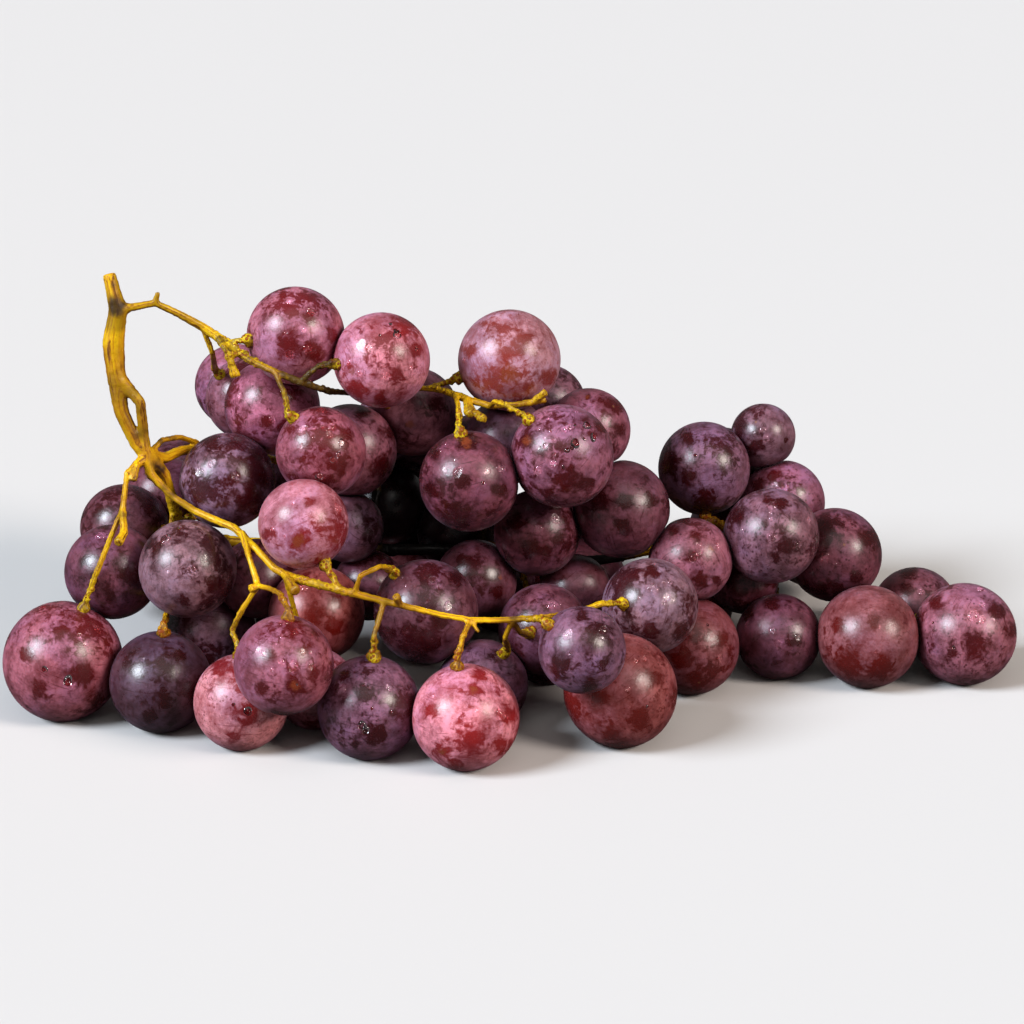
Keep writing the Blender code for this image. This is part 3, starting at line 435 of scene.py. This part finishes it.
def ballReach(radius, ways, draw):     # how far out each corner of a berry lies
    height = ways[:, 2]
    stretch = draw.uniform(-0.3, 1.0) * ballShape["oblong"] * (height ** 2 - 1 / 3)
    lumps = np.zeros(len(ways))
    for _ in range(ballShape["waves"]):
        way = unit([draw.gauss(0, 1) for _ in range(3)])
        wave = np.sin(ways @ way * draw.uniform(1.5, 3.5) + draw.uniform(0, 6))
        lumps += wave / ballShape["waves"]
    stalkAngle = np.arccos(np.clip(height, -1, 1))
    dents = ballShape["stalkDent"] * np.exp(-(stalkAngle / ballShape["stalkDentWidth"]) ** 2)
    tipAngle = math.pi - stalkAngle
    dents += ballShape["tipDent"] * np.exp(-(tipAngle / ballShape["tipDentWidth"]) ** 2)
    return radius * (1 + stretch + ballShape["lump"] * lumps - dents)


def pressFlat(berry, berries, places):    # where other berries and the floor press on it
    radius = berry["radius"]
    pressed = np.zeros(len(places))
    for other in berries:
        offset = other["middle"] - berry["middle"]
        distance = np.linalg.norm(offset)
        if other is berry or distance > radius + other["radius"] + ballShape["seamLook"] * mm:
            continue
        side = offset / distance
        seam = (distance ** 2 + radius ** 2 - other["radius"] ** 2) / (2 * distance)
        seam -= ballShape["seamGap"] * mm
        heights = places @ side
        flat = softLeast(heights, seam, ballShape["seamSoftness"] * mm)
        places += (flat - heights)[:, None] * side
        rubbed = np.clip((heights - seam) / mm + ballShape["seamRub"], 0, 1)
        pressed = np.maximum(pressed, rubbed)
    low = -softLeast(-(places[:, 2] + berry["middle"][2]), 0.0, ballShape["floorSoftness"] * mm)
    places[:, 2] = low - berry["middle"][2]
    return pressed


def paintBerry(piece, berry, outward, places, draw):    # what the skin's shader reads
    tone = skinTones[berry["tone"]]
    wander = [draw.uniform(1 - toneWander, 1 + toneWander) for _ in range(3)]
    tint = np.array(screenColor(*tone["bloom"])) * wander
    if berry["tone"] == "shadedInside":       # painted shade: black towards the lens alone, where the dark middle lies in shadow
        behind = np.clip(0.3 - 2 * outward @ unit(eye - berry["middle"]), 0, 1)
        plain = np.array(screenColor(*skinTones["dusky"]["bloom"]))
        tint = tint + (plain - tint) * behind[:, None]
    addTint(piece, "bloomTint", tint)
    addTint(piece, "rubbedTint", screenColor(*tone["rubbed"]))
    addNumbers(piece, "bloomCover", tone["cover"] + draw.uniform(-coverWander, coverWander))
    addNumbers(piece, "bloomThick", tone["thick"])
    addNumbers(piece, "rubbedMark", markField(berry, outward, places, rubbedMarks))
    addNumbers(piece, "russetMark", markField(berry, outward, places, russetMarks))
    addNumbers(piece, "pricked", berry["name"] in prickedBerries)
    addNumbers(piece, "ownSeed", draw.uniform(0, 4))
    addNumbers(piece, "tipScar", draw.random() < tipDots)


def berryPiece(berry, berries, template, material, draw):
    ways, faces = template
    turn = np.array(stalkTurn(berry["stalk"], draw.uniform(0, 2 * math.pi)))
    reach = ballReach(berry["radius"], ways, draw)
    places = (ways * reach[:, None]) @ turn.T
    pressed = pressFlat(berry, berries, places)
    piece = meshPiece("berry_" + berry["name"], places + berry["middle"], faces, material)
    addVectors(piece, "ownPlace", ways * berry["radius"])
    addNumbers(piece, "pressed", pressed)
    paintBerry(piece, berry, ways @ turn.T, places, draw)
    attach(piece, "root")
    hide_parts("berries")
    return piece


class Shader:                          # short names for the nodes of one material
    def __init__(self, name):
        self.material = bpy.data.materials.new(name)
        self.material.use_nodes = True
        self.tree = self.material.node_tree
        self.skin = self.tree.nodes["Principled BSDF"]

    def add(self, kind, **values):
        node = self.tree.nodes.new(kind)
        for name, value in values.items():
            setattr(node, name, value)
        return node

    def put(self, value, socket):      # a number, a colour or another node's output
        if isinstance(value, bpy.types.NodeSocket):
            self.tree.links.new(value, socket)
        elif value is not None:
            socket.default_value = value

    def numbers(self, name):
        return self.add("ShaderNodeAttribute", attribute_name=name).outputs["Fac"]

    def vectors(self, name):
        return self.add("ShaderNodeAttribute", attribute_name=name).outputs["Vector"]

    def tint(self, name):
        return self.add("ShaderNodeAttribute", attribute_name=name).outputs["Color"]

    def math(self, operation, first, second=None, third=None, clamp=False):
        node = self.add("ShaderNodeMath", operation=operation, use_clamp=clamp)
        for value, socket in zip((first, second, third), node.inputs):
            self.put(value, socket)
        return node.outputs[0]

    def stray(self, value, amount, onto=0.0):    # noise swings about 0 and is added to onto
        return self.math('MULTIPLY_ADD', self.math('SUBTRACT', value, 0.5), amount, onto)

    def noise(self, place, scale, detail=3.0, rough=0.5, bend=0.0):
        node = self.add("ShaderNodeTexNoise")
        self.put(place, node.inputs["Vector"])
        node.inputs["Scale"].default_value = scale
        node.inputs["Detail"].default_value = detail
        node.inputs["Roughness"].default_value = rough
        node.inputs["Distortion"].default_value = bend
        return node.outputs["Fac"]

    def specks(self, place, scale):
        node = self.add("ShaderNodeTexVoronoi")
        self.put(place, node.inputs["Vector"])
        node.inputs["Scale"].default_value = scale
        return node.outputs["Distance"]

    def ramp(self, value, low, high, start=0.0, end=1.0, smooth=True):
        node = self.add("ShaderNodeMapRange")
        node.interpolation_type = 'SMOOTHSTEP' if smooth else 'LINEAR'
        for given, name in ((value, "Value"), (low, "From Min"), (high, "From Max"),
                            (start, "To Min"), (end, "To Max")):
            self.put(given, node.inputs[name])
        return node.outputs["Result"]

    def mix(self, amount, first, second, blend='MIX'):
        node = self.add("ShaderNodeMix", data_type='RGBA', blend_type=blend)
        self.put(amount, node.inputs[0])
        self.put(first, node.inputs[6])
        self.put(second, node.inputs[7])
        return node.outputs[2]

    def stretched(self, place, turn, scale):
        node = self.add("ShaderNodeMapping")
        self.put(place, node.inputs["Vector"])
        node.inputs["Rotation"].default_value = turn
        node.inputs["Scale"].default_value = scale
        return node.outputs["Vector"]

    def bump(self, height, strength, distance, under=None):
        node = self.add("ShaderNodeBump")
        self.put(height, node.inputs["Height"])
        node.inputs["Strength"].default_value = strength
        node.inputs["Distance"].default_value = distance
        self.put(under, node.inputs["Normal"])
        return node.outputs["Normal"]

    def place(self):
        return self.add("ShaderNodeTexCoord").outputs["Object"]


skinLook = {
    "zone": 60,                        # broad rubbed zones to the metre
    "patch": 170,                      # patches in them
    "ragged": 0.62,                    # how much finer noise frays them
    "edge": 0.06,                      # how soft a patch's edge is
    "markBend": 1.3,                   # how far the marks stray from round
    "strokes": (60, 60, 420),          # brush strokes: fine across, long along
    "scratches": (40, 40, 900),
    "cloud": 150,                      # thin and thick bloom
    "grain": 560,
    "crumb": 700,                      # bits of wax left in the worn places
    "speck": 760,
    "lilac": (0.9, 1.06, 1.28, 1.0),   # what the coldest bloom does to its tone
    "scar": (128, 82, 54),             # the dry dot at the tip, screen colour
    "scarWidth": 0.3,
    "russet": (132, 60, 30),
    "rubbedRough": 0.26,
    "bloomRough": 0.38,
    "seenThrough": 0.18,
    "seenThroughColor": (1.0, 0.25, 0.2),
    "seenThroughDepth": 3.0,
    "sheen": 0.04,                     # the pale rim that wax gives a berry
    "sheenColor": (0.86, 0.78, 1.0, 1.0),
}


# Worn patches: slow noise decides where, finer noise frays the edge.
def wornPatches(look, place, fray):
    zone = look.noise(place, skinLook["zone"], 1.0)
    patch = look.noise(place, skinLook["patch"], 3.0, 0.5, 0.5)
    wear = look.math('MULTIPLY_ADD', look.math('ADD', zone, patch), 0.5,
                     look.stray(fray, skinLook["ragged"]))
    limit = look.math('MULTIPLY_ADD', look.numbers("bloomCover"), 0.34, 0.36)
    worn = look.ramp(wear, look.math('SUBTRACT', limit, skinLook["edge"]),
                     look.math('ADD', limit, skinLook["edge"]), 0.0, 0.95)
    bend = look.noise(place, skinLook["patch"] * 1.7, 3.0, 0.6, 1.0)
    marked = look.stray(bend, skinLook["markBend"], look.numbers("rubbedMark"))
    marked = look.stray(fray, 0.8, marked)
    return look.math('MAXIMUM', worn, look.ramp(marked, 0.28, 0.72))


# Brush strokes and scratches run in another direction on each berry.
def strokesAndScratches(look, place, own, worn):
    shifted = look.add("ShaderNodeVectorMath", operation='ADD')
    look.put(own, shifted.inputs[0])
    look.put(look.numbers("ownSeed"), shifted.inputs[1])
    drawn = look.stretched(shifted.outputs[0], (0.5, 0.9, 0.3), skinLook["strokes"])
    strokes = look.ramp(look.noise(drawn, 3.0, 3.0, 0.6, 0.7), 0.58, 0.65, 0.0, 0.5)
    strokeArea = look.ramp(look.noise(place, 90, 2.0), 0.5, 0.6)
    worn = look.math('MAXIMUM', worn, look.math('MULTIPLY', strokes, strokeArea))
    crossed = look.stretched(shifted.outputs[0], (1.4, 0.2, 1.1), skinLook["scratches"])
    scratches = look.ramp(look.noise(crossed, 3.5, 1.0, 0.5, 0.3), 0.68, 0.71, 0.0, 0.6)
    return look.math('MAXIMUM', worn, scratches)


def waxCover(look, place, worn):       # how opaque the bloom is
    cloud = look.ramp(look.noise(place, skinLook["cloud"], 7.0, 0.72), 0.34, 0.62, 0.3, 1.0)
    grain = look.ramp(look.noise(place, skinLook["grain"], 6.0, 0.78), 0.36, 0.56, 0.5, 1.0)
    crumbs = look.ramp(look.noise(place, skinLook["crumb"], 4.0, 0.7), 0.52, 0.7, 0.01, 0.18)
    kept = look.math('MAXIMUM', look.math('SUBTRACT', 1.0, worn), crumbs)
    thick = look.math('MULTIPLY', look.numbers("bloomThick"),
                      look.math('MULTIPLY', cloud, grain))
    return look.math('MULTIPLY', thick, kept, clamp=True)


# The bare skin is redder and browner by turns under the bloom, with dark pin pricks.
def skinColor(look, place, wax, fray):
    rubbed = look.tint("rubbedTint")
    bloom = look.tint("bloomTint")
    hue = look.ramp(look.noise(place, 75, 3.0), 0.4, 0.62)
    warm = look.mix(1.0, rubbed, (1.4, 1.05, 0.85, 1), 'MULTIPLY')
    lilac = look.mix(1.0, bloom, skinLook["lilac"], 'MULTIPLY')
    wash = look.ramp(look.noise(place, 70, 4.0, 0.62), 0.42, 0.66)
    color = look.mix(wax, look.mix(hue, rubbed, warm), look.mix(wash, bloom, lilac))
    pricks = look.ramp(look.specks(place, skinLook["speck"]), 0.16, 0.32, 1.0, 0.0)
    sparse = look.ramp(look.noise(place, 240, 1.0), 0.42, 0.56)
    few = look.math('MULTIPLY_ADD', look.numbers("pricked"), 0.45, 0.34)
    pricks = look.math('MULTIPLY', look.math('MULTIPLY', pricks, sparse), few)
    color = look.mix(pricks, color, rubbed)
    russet = look.stray(fray, 1.2, look.numbers("russetMark"))
    return look.mix(look.ramp(russet, 0.4, 0.85, 0.0, 0.75), color,
                    opaque(skinLook["russet"]))


def tipDot(look, place, own):          # the dry dot opposite the stalk
    split = look.add("ShaderNodeSeparateXYZ")
    look.put(own, split.inputs[0])
    radial = look.math('SQRT', look.math('ADD', look.math('POWER', split.outputs[0], 2.0),
                                         look.math('POWER', split.outputs[1], 2.0)))
    wobble = look.math('MULTIPLY', look.noise(place, 1200, 2.0), 0.5 * mm)
    width = skinLook["scarWidth"] * mm
    dot = look.ramp(look.math('ADD', radial, wobble), width, width * 2.5, 1.0, 0.0)
    lowEnd = look.ramp(split.outputs[2], -4 * mm, -1 * mm, 1.0, 0.0)
    return look.math('MULTIPLY', look.math('MULTIPLY', dot, lowEnd), look.numbers("tipScar"))


def grapeSkin():
    look = Shader("grapeSkin")
    place = look.place()
    own = look.vectors("ownPlace")
    fray = look.noise(place, skinLook["patch"] * 3.6, 5.0, 0.66, 0.6)
    worn = strokesAndScratches(look, place, own, wornPatches(look, place, fray))
    pressed = look.math('MULTIPLY', look.numbers("pressed"), 0.75)
    worn = look.math('MAXIMUM', worn, pressed, clamp=True)
    wax = waxCover(look, place, worn)
    color = look.mix(tipDot(look, place, own), skinColor(look, place, wax, fray),
                     opaque(skinLook["scar"]))
    look.put(color, look.skin.inputs["Base Color"])
    rough = look.ramp(wax, 0.0, 0.8, skinLook["rubbedRough"], skinLook["bloomRough"], False)
    look.put(look.stray(fray, 0.2, rough), look.skin.inputs["Roughness"])
    fine = look.bump(look.noise(place, 1500, 2.0), 0.12, 0.2 * mm)
    look.put(look.bump(fray, 0.25, 0.2 * mm, fine), look.skin.inputs["Normal"])
    look.skin.inputs["Subsurface Weight"].default_value = skinLook["seenThrough"]
    look.skin.inputs["Subsurface Radius"].default_value = skinLook["seenThroughColor"]
    look.skin.inputs["Subsurface Scale"].default_value = skinLook["seenThroughDepth"] * mm
    look.skin.inputs["IOR"].default_value = 1.5
    look.skin.inputs["Sheen Weight"].default_value = skinLook["sheen"]
    look.skin.inputs["Sheen Roughness"].default_value = 0.4
    look.skin.inputs["Sheen Tint"].default_value = skinLook["sheenColor"]
    return look.material


def waterLook():
    look = Shader("waterDrop")
    # painted shade: the water is tinted dark towards its rim
    edge = opaque(dropLook["edge"])
    look.put(look.mix(look.numbers("rim"), (1, 1, 1, 1), edge), look.skin.inputs["Base Color"])
    look.skin.inputs["Transmission Weight"].default_value = 1.0
    look.skin.inputs["Roughness"].default_value = 0.02
    look.skin.inputs["IOR"].default_value = 1.33
    return look.material


def findDrop(berry, berries, draw):    # a free spot for a drop on the wet side, or None
    toEye = unit(eye - berry["middle"])
    aside = dropLook["wetAside"]
    wet = unit(toEye + np.array((draw.uniform(-aside, aside), 0,
                                 draw.uniform(*dropLook["wetAbove"]))))
    stray = np.array([draw.gauss(0, 1) for _ in range(3)]) * dropLook["spread"] / 1.7
    outward = unit(wet + stray)
    if outward @ toEye < dropLook["leastFacing"]:
        return None
    small, large = dropLook["radius"]
    width = (small + (large - small) * draw.random() ** 2.0) * mm
    root = berry["middle"] + outward * berry["radius"]
    for other in berries:
        if other is not berry and np.linalg.norm(root - other["middle"]) < other["radius"] + width:
            return None
    return root, outward, width


def addDrop(berry, root, outward, width, corners, rimShades, faces, draw):
    sides = dropLook["sides"]
    rings = dropLook["rings"]
    beside = unit(np.cross(outward, (0.3, 0.2, 1.0)))
    above = np.cross(outward, beside)
    wobble = [draw.uniform(0, 6.3) for _ in range(2)]
    long = draw.uniform(*dropLook["long"])
    double, triple = dropLook["wobble"]
    start = len(corners)
    for ring in range(rings):
        rise = ring / rings
        reach = math.sqrt(1 - rise ** 2) * width
        for side in range(sides):
            angle = 2 * math.pi * side / sides
            edge = reach * (1 + double * math.sin(2 * angle + wobble[0])
                            + triple * math.sin(3 * angle + wobble[1]))
            spot = beside * math.cos(angle) * edge + above * math.sin(angle) * edge * long
            drop = berry["radius"] - math.sqrt(berry["radius"] ** 2 - spot @ spot)
            lift = rise * width * dropLook["height"] - dropLook["sunk"] * mm - drop
            corners.append(root + spot + outward * lift)
            rimShades.append(max(0.0, 1 - ring / dropLook["rimRings"]))
    top = len(corners)
    corners.append(root + outward * (width * dropLook["height"] - dropLook["sunk"] * mm))
    rimShades.append(0.0)
    last = start + (rings - 1) * sides
    for here in range(start, last, sides):
        for side in range(sides):
            after = (side + 1) % sides
            faces.append((here + side, here + after, here + sides + after, here + sides + side))
    for side in range(sides):
        faces.append((last + side, last + (side + 1) % sides, top))
    faces.append(tuple(start + side for side in reversed(range(sides))))


def dropsPiece(berries, draw):
    corners = []
    rimShades = []
    faces = []
    for berry in berries:
        for _ in range(berry["drops"]):
            found = findDrop(berry, berries, draw)
            if found:
                addDrop(berry, *found, corners, rimShades, faces, draw)
    piece = meshPiece("waterDrops", corners, faces, waterLook())
    addNumbers(piece, "rim", rimShades)
    piece.visible_shadow = False       # light reaches the skin through the water
    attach(piece, "root")
    return piece


def roundOff(mesh, places, weights):   # moves each corner towards its neighbours' middle
    edges = np.empty(len(mesh.edges) * 2, dtype=np.int32)
    mesh.edges.foreach_get("vertices", edges)
    edges = edges.reshape(-1, 2)
    edges = edges[(weights[edges] > 0).any(axis=1)]
    near = np.maximum(np.bincount(edges.ravel(), minlength=len(places)), 1)
    for _ in range(stemShape["stalkRounding"]):
        for axis in range(3):
            line = places[:, axis]
            total = np.bincount(edges[:, 0], line[edges[:, 1]], len(places))
            total += np.bincount(edges[:, 1], line[edges[:, 0]], len(places))
            line += weights * 0.5 * (total / near - line)


def readVectors(mesh, name):           # places ("co") or normals ("normal") of its corners
    vectors = np.empty(len(mesh.vertices) * 3)
    mesh.vertices.foreach_get(name, vectors)
    return vectors.reshape(-1, 3)


def fineStem(material):                # the stem's solid in small faces, smoothed
    corners, triangles = weldedSurface("stem")
    rough = meshPiece("stemDraft", corners, triangles, material)
    remesh = rough.modifiers.new("remesh", 'REMESH')
    remesh.mode = 'VOXEL'
    remesh.voxel_size = stemShape["voxel"] * mm
    smooth = rough.modifiers.new("smooth", 'SMOOTH')
    smooth.factor = 0.5
    smooth.iterations = stemShape["smoothing"]
    depsgraph = bpy.context.evaluated_depsgraph_get()
    mesh = bpy.data.meshes.new_from_object(rough.evaluated_get(depsgraph))
    bpy.data.objects.remove(rough)
    return mesh


def stalkThickness(spots):             # 1 on the thick stalk, less below the slit's knot
    thick = np.clip((stalkZone["column"] - spots[:, 0]) / 6, 0, 1)
    thick *= np.clip((spots[:, 1] - stalkZone["cutRow"]) / 12, 0, 1)
    thick *= np.clip((stalkZone["lowRow"] - spots[:, 1]) / 10, 0, 1)
    thick[spots[:, 1] > stalkZone["slitRow"]] *= 0.4
    return thick


def endDistances(places, berries):     # the nearest end of a stalklet, and how far off it is
    ends = [berry["middle"] + berry["stalk"] * berry["radius"]
            for berry in berries if berry["joined"]]
    endAway = np.full(len(places), 99.0)
    nearestEnd = np.zeros(len(places), dtype=int)
    for index, end in enumerate(ends):
        away = np.linalg.norm(places - end, axis=1) / mm
        nearestEnd[away < endAway] = index
        endAway = np.minimum(endAway, away)
    return len(ends), nearestEnd, endAway


def spotsAndShade(places, spots):          # how dark the spots and the painted shade make each corner
    nearness = np.linalg.norm(places - eye, axis=1)
    marks = np.zeros(len(places))
    for (spot, reach, dark) in stemSpotsAndShade.values():
        miss = np.linalg.norm(spots - spot, axis=1)
        close = np.where(miss < 8)[0]
        if not len(close):
            continue
        anchor = places[close[np.argmin(nearness[close])]]
        away = np.linalg.norm(places - anchor, axis=1) / mm
        marks = np.maximum(marks, dark * np.clip(1.6 - away / reach, 0, 1))
    return marks


def roughness(places, twig, cup):      # fine ridges, and the warts of the stalklets
    ridges = np.empty(len(places))
    warts = np.empty(len(places))
    broad, narrow = stemShape["ridges"]
    for index in range(len(places)):
        place = Vector(places[index])
        ridges[index] = noise.noise(place * broad) + 0.5 * noise.noise(place * narrow)
        away, bumps = noise.voronoi(place / (stemShape["wartsApart"] * mm))
        size = 0.35 + 0.65 * noise.cell(bumps[0] * 3.7)
        wart = size * min(1.0, max(0.0, 0.72 - away[0]) / 0.42)
        warts[index] = wart * min(1.0, 0.06 + 0.8 * twig[index] + 0.4 * cup[index])
    return ridges, warts


def stemPiece(berries, material, draw):
    mesh = fineStem(material)
    places = readVectors(mesh, "co")
    spots = pictureSpot(places)
    thick = stalkThickness(spots)
    roundOff(mesh, places, thick)
    mesh.vertices.foreach_set("co", places.ravel())
    mesh.update()
    normals = readVectors(mesh, "normal")

    endCount, nearestEnd, endAway = endDistances(places, berries)
    cup = np.clip(1.3 - endAway / stemShape["cupReach"], 0, 1)
    twig = np.clip(1.4 - endAway / stemShape["twigReach"], 0, 1)
    marks = spotsAndShade(places, spots)
    twigTone = np.array([draw.random() for _ in range(endCount)])[nearestEnd]
    ridges, warts = roughness(places, twig, cup)
    lift = (stemShape["swell"] + stemShape["ridge"] * ridges + stemShape["stalkSwell"] * thick
            + stemShape["wart"] * warts + stemShape["cupSwell"] * cup)
    places = places + normals * (lift * mm)[:, None]
    mesh.vertices.foreach_set("co", places.ravel())
    mesh.name = "stemFine"
    mesh.materials.clear()
    mesh.materials.append(material)
    mesh.shade_smooth()
    piece = bpy.data.objects.new("stemFine", mesh)
    scene.collection.objects.link(piece)
    addNumbers(piece, "twig", twig)
    addNumbers(piece, "marks", marks)
    addNumbers(piece, "wartHeight", warts)
    addNumbers(piece, "twigTone", twigTone)
    addVectors(piece, "roundDirection", normals)
    fewer = piece.modifiers.new("fewer", 'DECIMATE')
    fewer.ratio = min(1.0, stemShape["triangles"] / (2 * len(mesh.polygons)))
    depsgraph = bpy.context.evaluated_depsgraph_get()
    piece.data = bpy.data.meshes.new_from_object(piece.evaluated_get(depsgraph))
    piece.modifiers.clear()
    piece.data.shade_smooth()
    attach(piece, "root")
    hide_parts("stem")
    return piece


stemLook = {
    "gold": (204, 138, 0),
    "pale": (244, 200, 18),
    "amber": (146, 88, 0),
    "lime": (214, 188, 18),            # the stalklets
    "orange": (156, 84, 6),            # the browner ones of them
    "green": (122, 92, 3),
    "brown": (86, 42, 5),
    "dark": (42, 26, 9),
    "shade": (12, 9, 6),               # painted shade, where the branch lies in shadow in the dark middle
    "wart": (134, 54, 5),
    "rough": 0.46,
    "dots": 850,                       # small warts to the metre
}


def stemSkin():
    look = Shader("stemBark")
    colors = {name: opaque(value) for name, value in stemLook.items()
              if isinstance(value, tuple)}
    place = look.place()
    facing = look.vectors("roundDirection")
    twig = look.numbers("twig")

    # lengthwise streaks: the direction a point faces stays the same along a branch
    slide = look.add("ShaderNodeVectorMath", operation='MULTIPLY_ADD')
    look.put(place, slide.inputs[0])
    slide.inputs[1].default_value = (38, 38, 38)
    look.put(facing, slide.inputs[2])
    streak = look.noise(slide.outputs[0], 2.6, 4.0, 0.6)
    broad = look.noise(place, 70, 2.0)
    color = look.mix(look.ramp(streak, 0.36, 0.62), colors["pale"], colors["gold"])
    slow = look.noise(place, 34, 3.0, 0.6)
    color = look.mix(look.ramp(slow, 0.47, 0.62, 0.0, 0.65), color, colors["amber"])
    twigColor = look.mix(look.ramp(look.numbers("twigTone"), 0.62, 0.95, 0.0, 0.85),
                         colors["lime"], colors["orange"])
    color = look.mix(look.math('MULTIPLY', twig, 0.75), color, twigColor)
    color = look.mix(look.ramp(broad, 0.5, 0.64, 0.0, 0.6), color, colors["green"])
    color = look.mix(look.ramp(streak, 0.53, 0.66, 0.0, 0.85), color, colors["brown"])
    # painted shade: the undersides of the branches turn brown, the more so the more they face down
    split = look.add("ShaderNodeSeparateXYZ")
    look.put(facing, split.inputs[0])
    under = look.ramp(split.outputs[2], -0.8, 0.0, 0.6, 0.0)
    color = look.mix(under, color, colors["brown"])
    warts = look.ramp(look.numbers("wartHeight"), 0.34, 0.7, 0.0, 0.8)
    specks = look.specks(place, stemLook["dots"])
    gaps = look.math('MULTIPLY', look.ramp(specks, 0.5, 0.72, 0.0, 0.6), twig)
    color = look.mix(gaps, color, colors["brown"])
    dots = look.math('MULTIPLY', look.ramp(specks, 0.3, 0.42, 1.0, 0.0), twig)
    color = look.mix(look.math('MAXIMUM', warts, look.math('MULTIPLY', dots, 0.9)), color,
                     colors["wart"])
    flecks = look.ramp(look.noise(place, 900, 3.0), 0.57, 0.68, 0.0, 0.8)
    color = look.mix(look.math('MULTIPLY', flecks, look.math('ADD', twig, 0.25, clamp=True)),
                     color, colors["brown"])
    marks = look.numbers("marks")
    dark = look.stray(look.noise(place, 420, 3.0), 0.9, marks)
    color = look.mix(look.ramp(dark, 0.3, 0.8, 0.0, 0.9), color, colors["dark"])
    # painted shade: nearly black at the top of the marks, on the branch in the dark middle
    color = look.mix(look.ramp(marks, 0.86, 1.0), color, colors["shade"])
    look.put(color, look.skin.inputs["Base Color"])
    look.put(look.ramp(streak, 0.3, 0.7, stemLook["rough"] - 0.12, stemLook["rough"] + 0.15),
             look.skin.inputs["Roughness"])
    grain = look.bump(dots, 0.7, 0.3 * mm, look.bump(streak, 0.35, 0.2 * mm))
    look.put(look.bump(look.noise(place, 2600, 3.0), 0.3, 0.1 * mm, grain),
             look.skin.inputs["Normal"])
    look.skin.inputs["Specular IOR Level"].default_value = 0.3
    look.skin.inputs["Subsurface Weight"].default_value = 0.06
    look.skin.inputs["Subsurface Radius"].default_value = (1.0, 0.6, 0.2)
    look.skin.inputs["Subsurface Scale"].default_value = 1.0 * mm
    return look.material


def layFloor():
    look = Shader("paleFloor")
    plain = opaque(floorLook["color"])
    cloud = look.ramp(look.noise(look.place(), floorLook["grainScale"], 3.0), 0.3, 0.7,
                      0.0, floorLook["grain"])
    seen = look.mix(cloud, plain, floorLook["grainColor"])
    straight = look.add("ShaderNodeLightPath").outputs["Is Camera Ray"]
    color = look.mix(straight, opaque(floorLook["bounce"]), seen)
    look.put(color, look.skin.inputs["Base Color"])
    look.skin.inputs["Roughness"].default_value = floorLook["rough"]
    half = floorLook["side"] / 2 * mm
    corners = [(-half, -half, 0), (half, -half, 0), (half, half, 0), (-half, half, 0)]
    meshPiece("floor", corners, [(0, 1, 2, 3)], look.material)


def setLights():
    for name, light in lightSet.items():
        lamp = bpy.data.lights.new(name, 'SUN')
        lamp.energy = light["strength"]
        lamp.angle = math.radians(light["wide"])
        lamp.color = light["color"]
        azimuth = math.radians(light["azimuth"])
        elevation = math.radians(light["elevation"])
        way = Vector((math.sin(azimuth) * math.cos(elevation),
                      -math.cos(azimuth) * math.cos(elevation), math.sin(elevation)))
        place = bpy.data.objects.new(name, lamp)
        place.location = way
        place.rotation_euler = way.to_track_quat('Z', 'Y').to_euler()
        scene.collection.objects.link(place)
    world = bpy.data.worlds.new("studio")
    world.use_nodes = True
    sky = world.node_tree.nodes["Background"]
    sky.inputs[0].default_value = (*skyLight["color"], 1.0)
    seen = world.node_tree.nodes.new("ShaderNodeMapRange")
    straight = world.node_tree.nodes.new("ShaderNodeLightPath").outputs["Is Camera Ray"]
    world.node_tree.links.new(straight, seen.inputs["Value"])
    seen.inputs["To Min"].default_value = skyLight["strength"]
    seen.inputs["To Max"].default_value = skyLight["seen"]
    world.node_tree.links.new(seen.outputs["Result"], sky.inputs[1])
    scene.world = world


def setCamera():
    camera = bpy.data.cameras.new("camera")
    camera.lens = viewFrom["lens"]
    camera.sensor_width = viewFrom["sensor"]
    camera.clip_start = viewFrom["nearest"] * mm
    place = bpy.data.objects.new("camera", camera)
    place.location = eye
    place.rotation_euler = (math.pi / 2 - tilt, 0, 0)
    scene.collection.objects.link(place)
    scene.camera = place


print("camera, floor and lights")
setCamera()
layFloor()
setLights()
scene.view_settings.view_transform = 'Standard'

print("finding the berries")
draw = random.Random(7)
berries = findBerries()
findStalks(berries)
nameBerries(berries)
print(len(berries), "berries,", sum(not berry["joined"] for berry in berries), "without a stalk")

print("berries")
template = ballTemplate()
skin = grapeSkin()
for berry in sorted(berries, key=lambda berry: berry["name"]):
    berryPiece(berry, berries, template, skin, draw)

print("water drops")
dropsPiece(berries, draw)

print("stem")
stemPiece(berries, stemSkin(), draw)
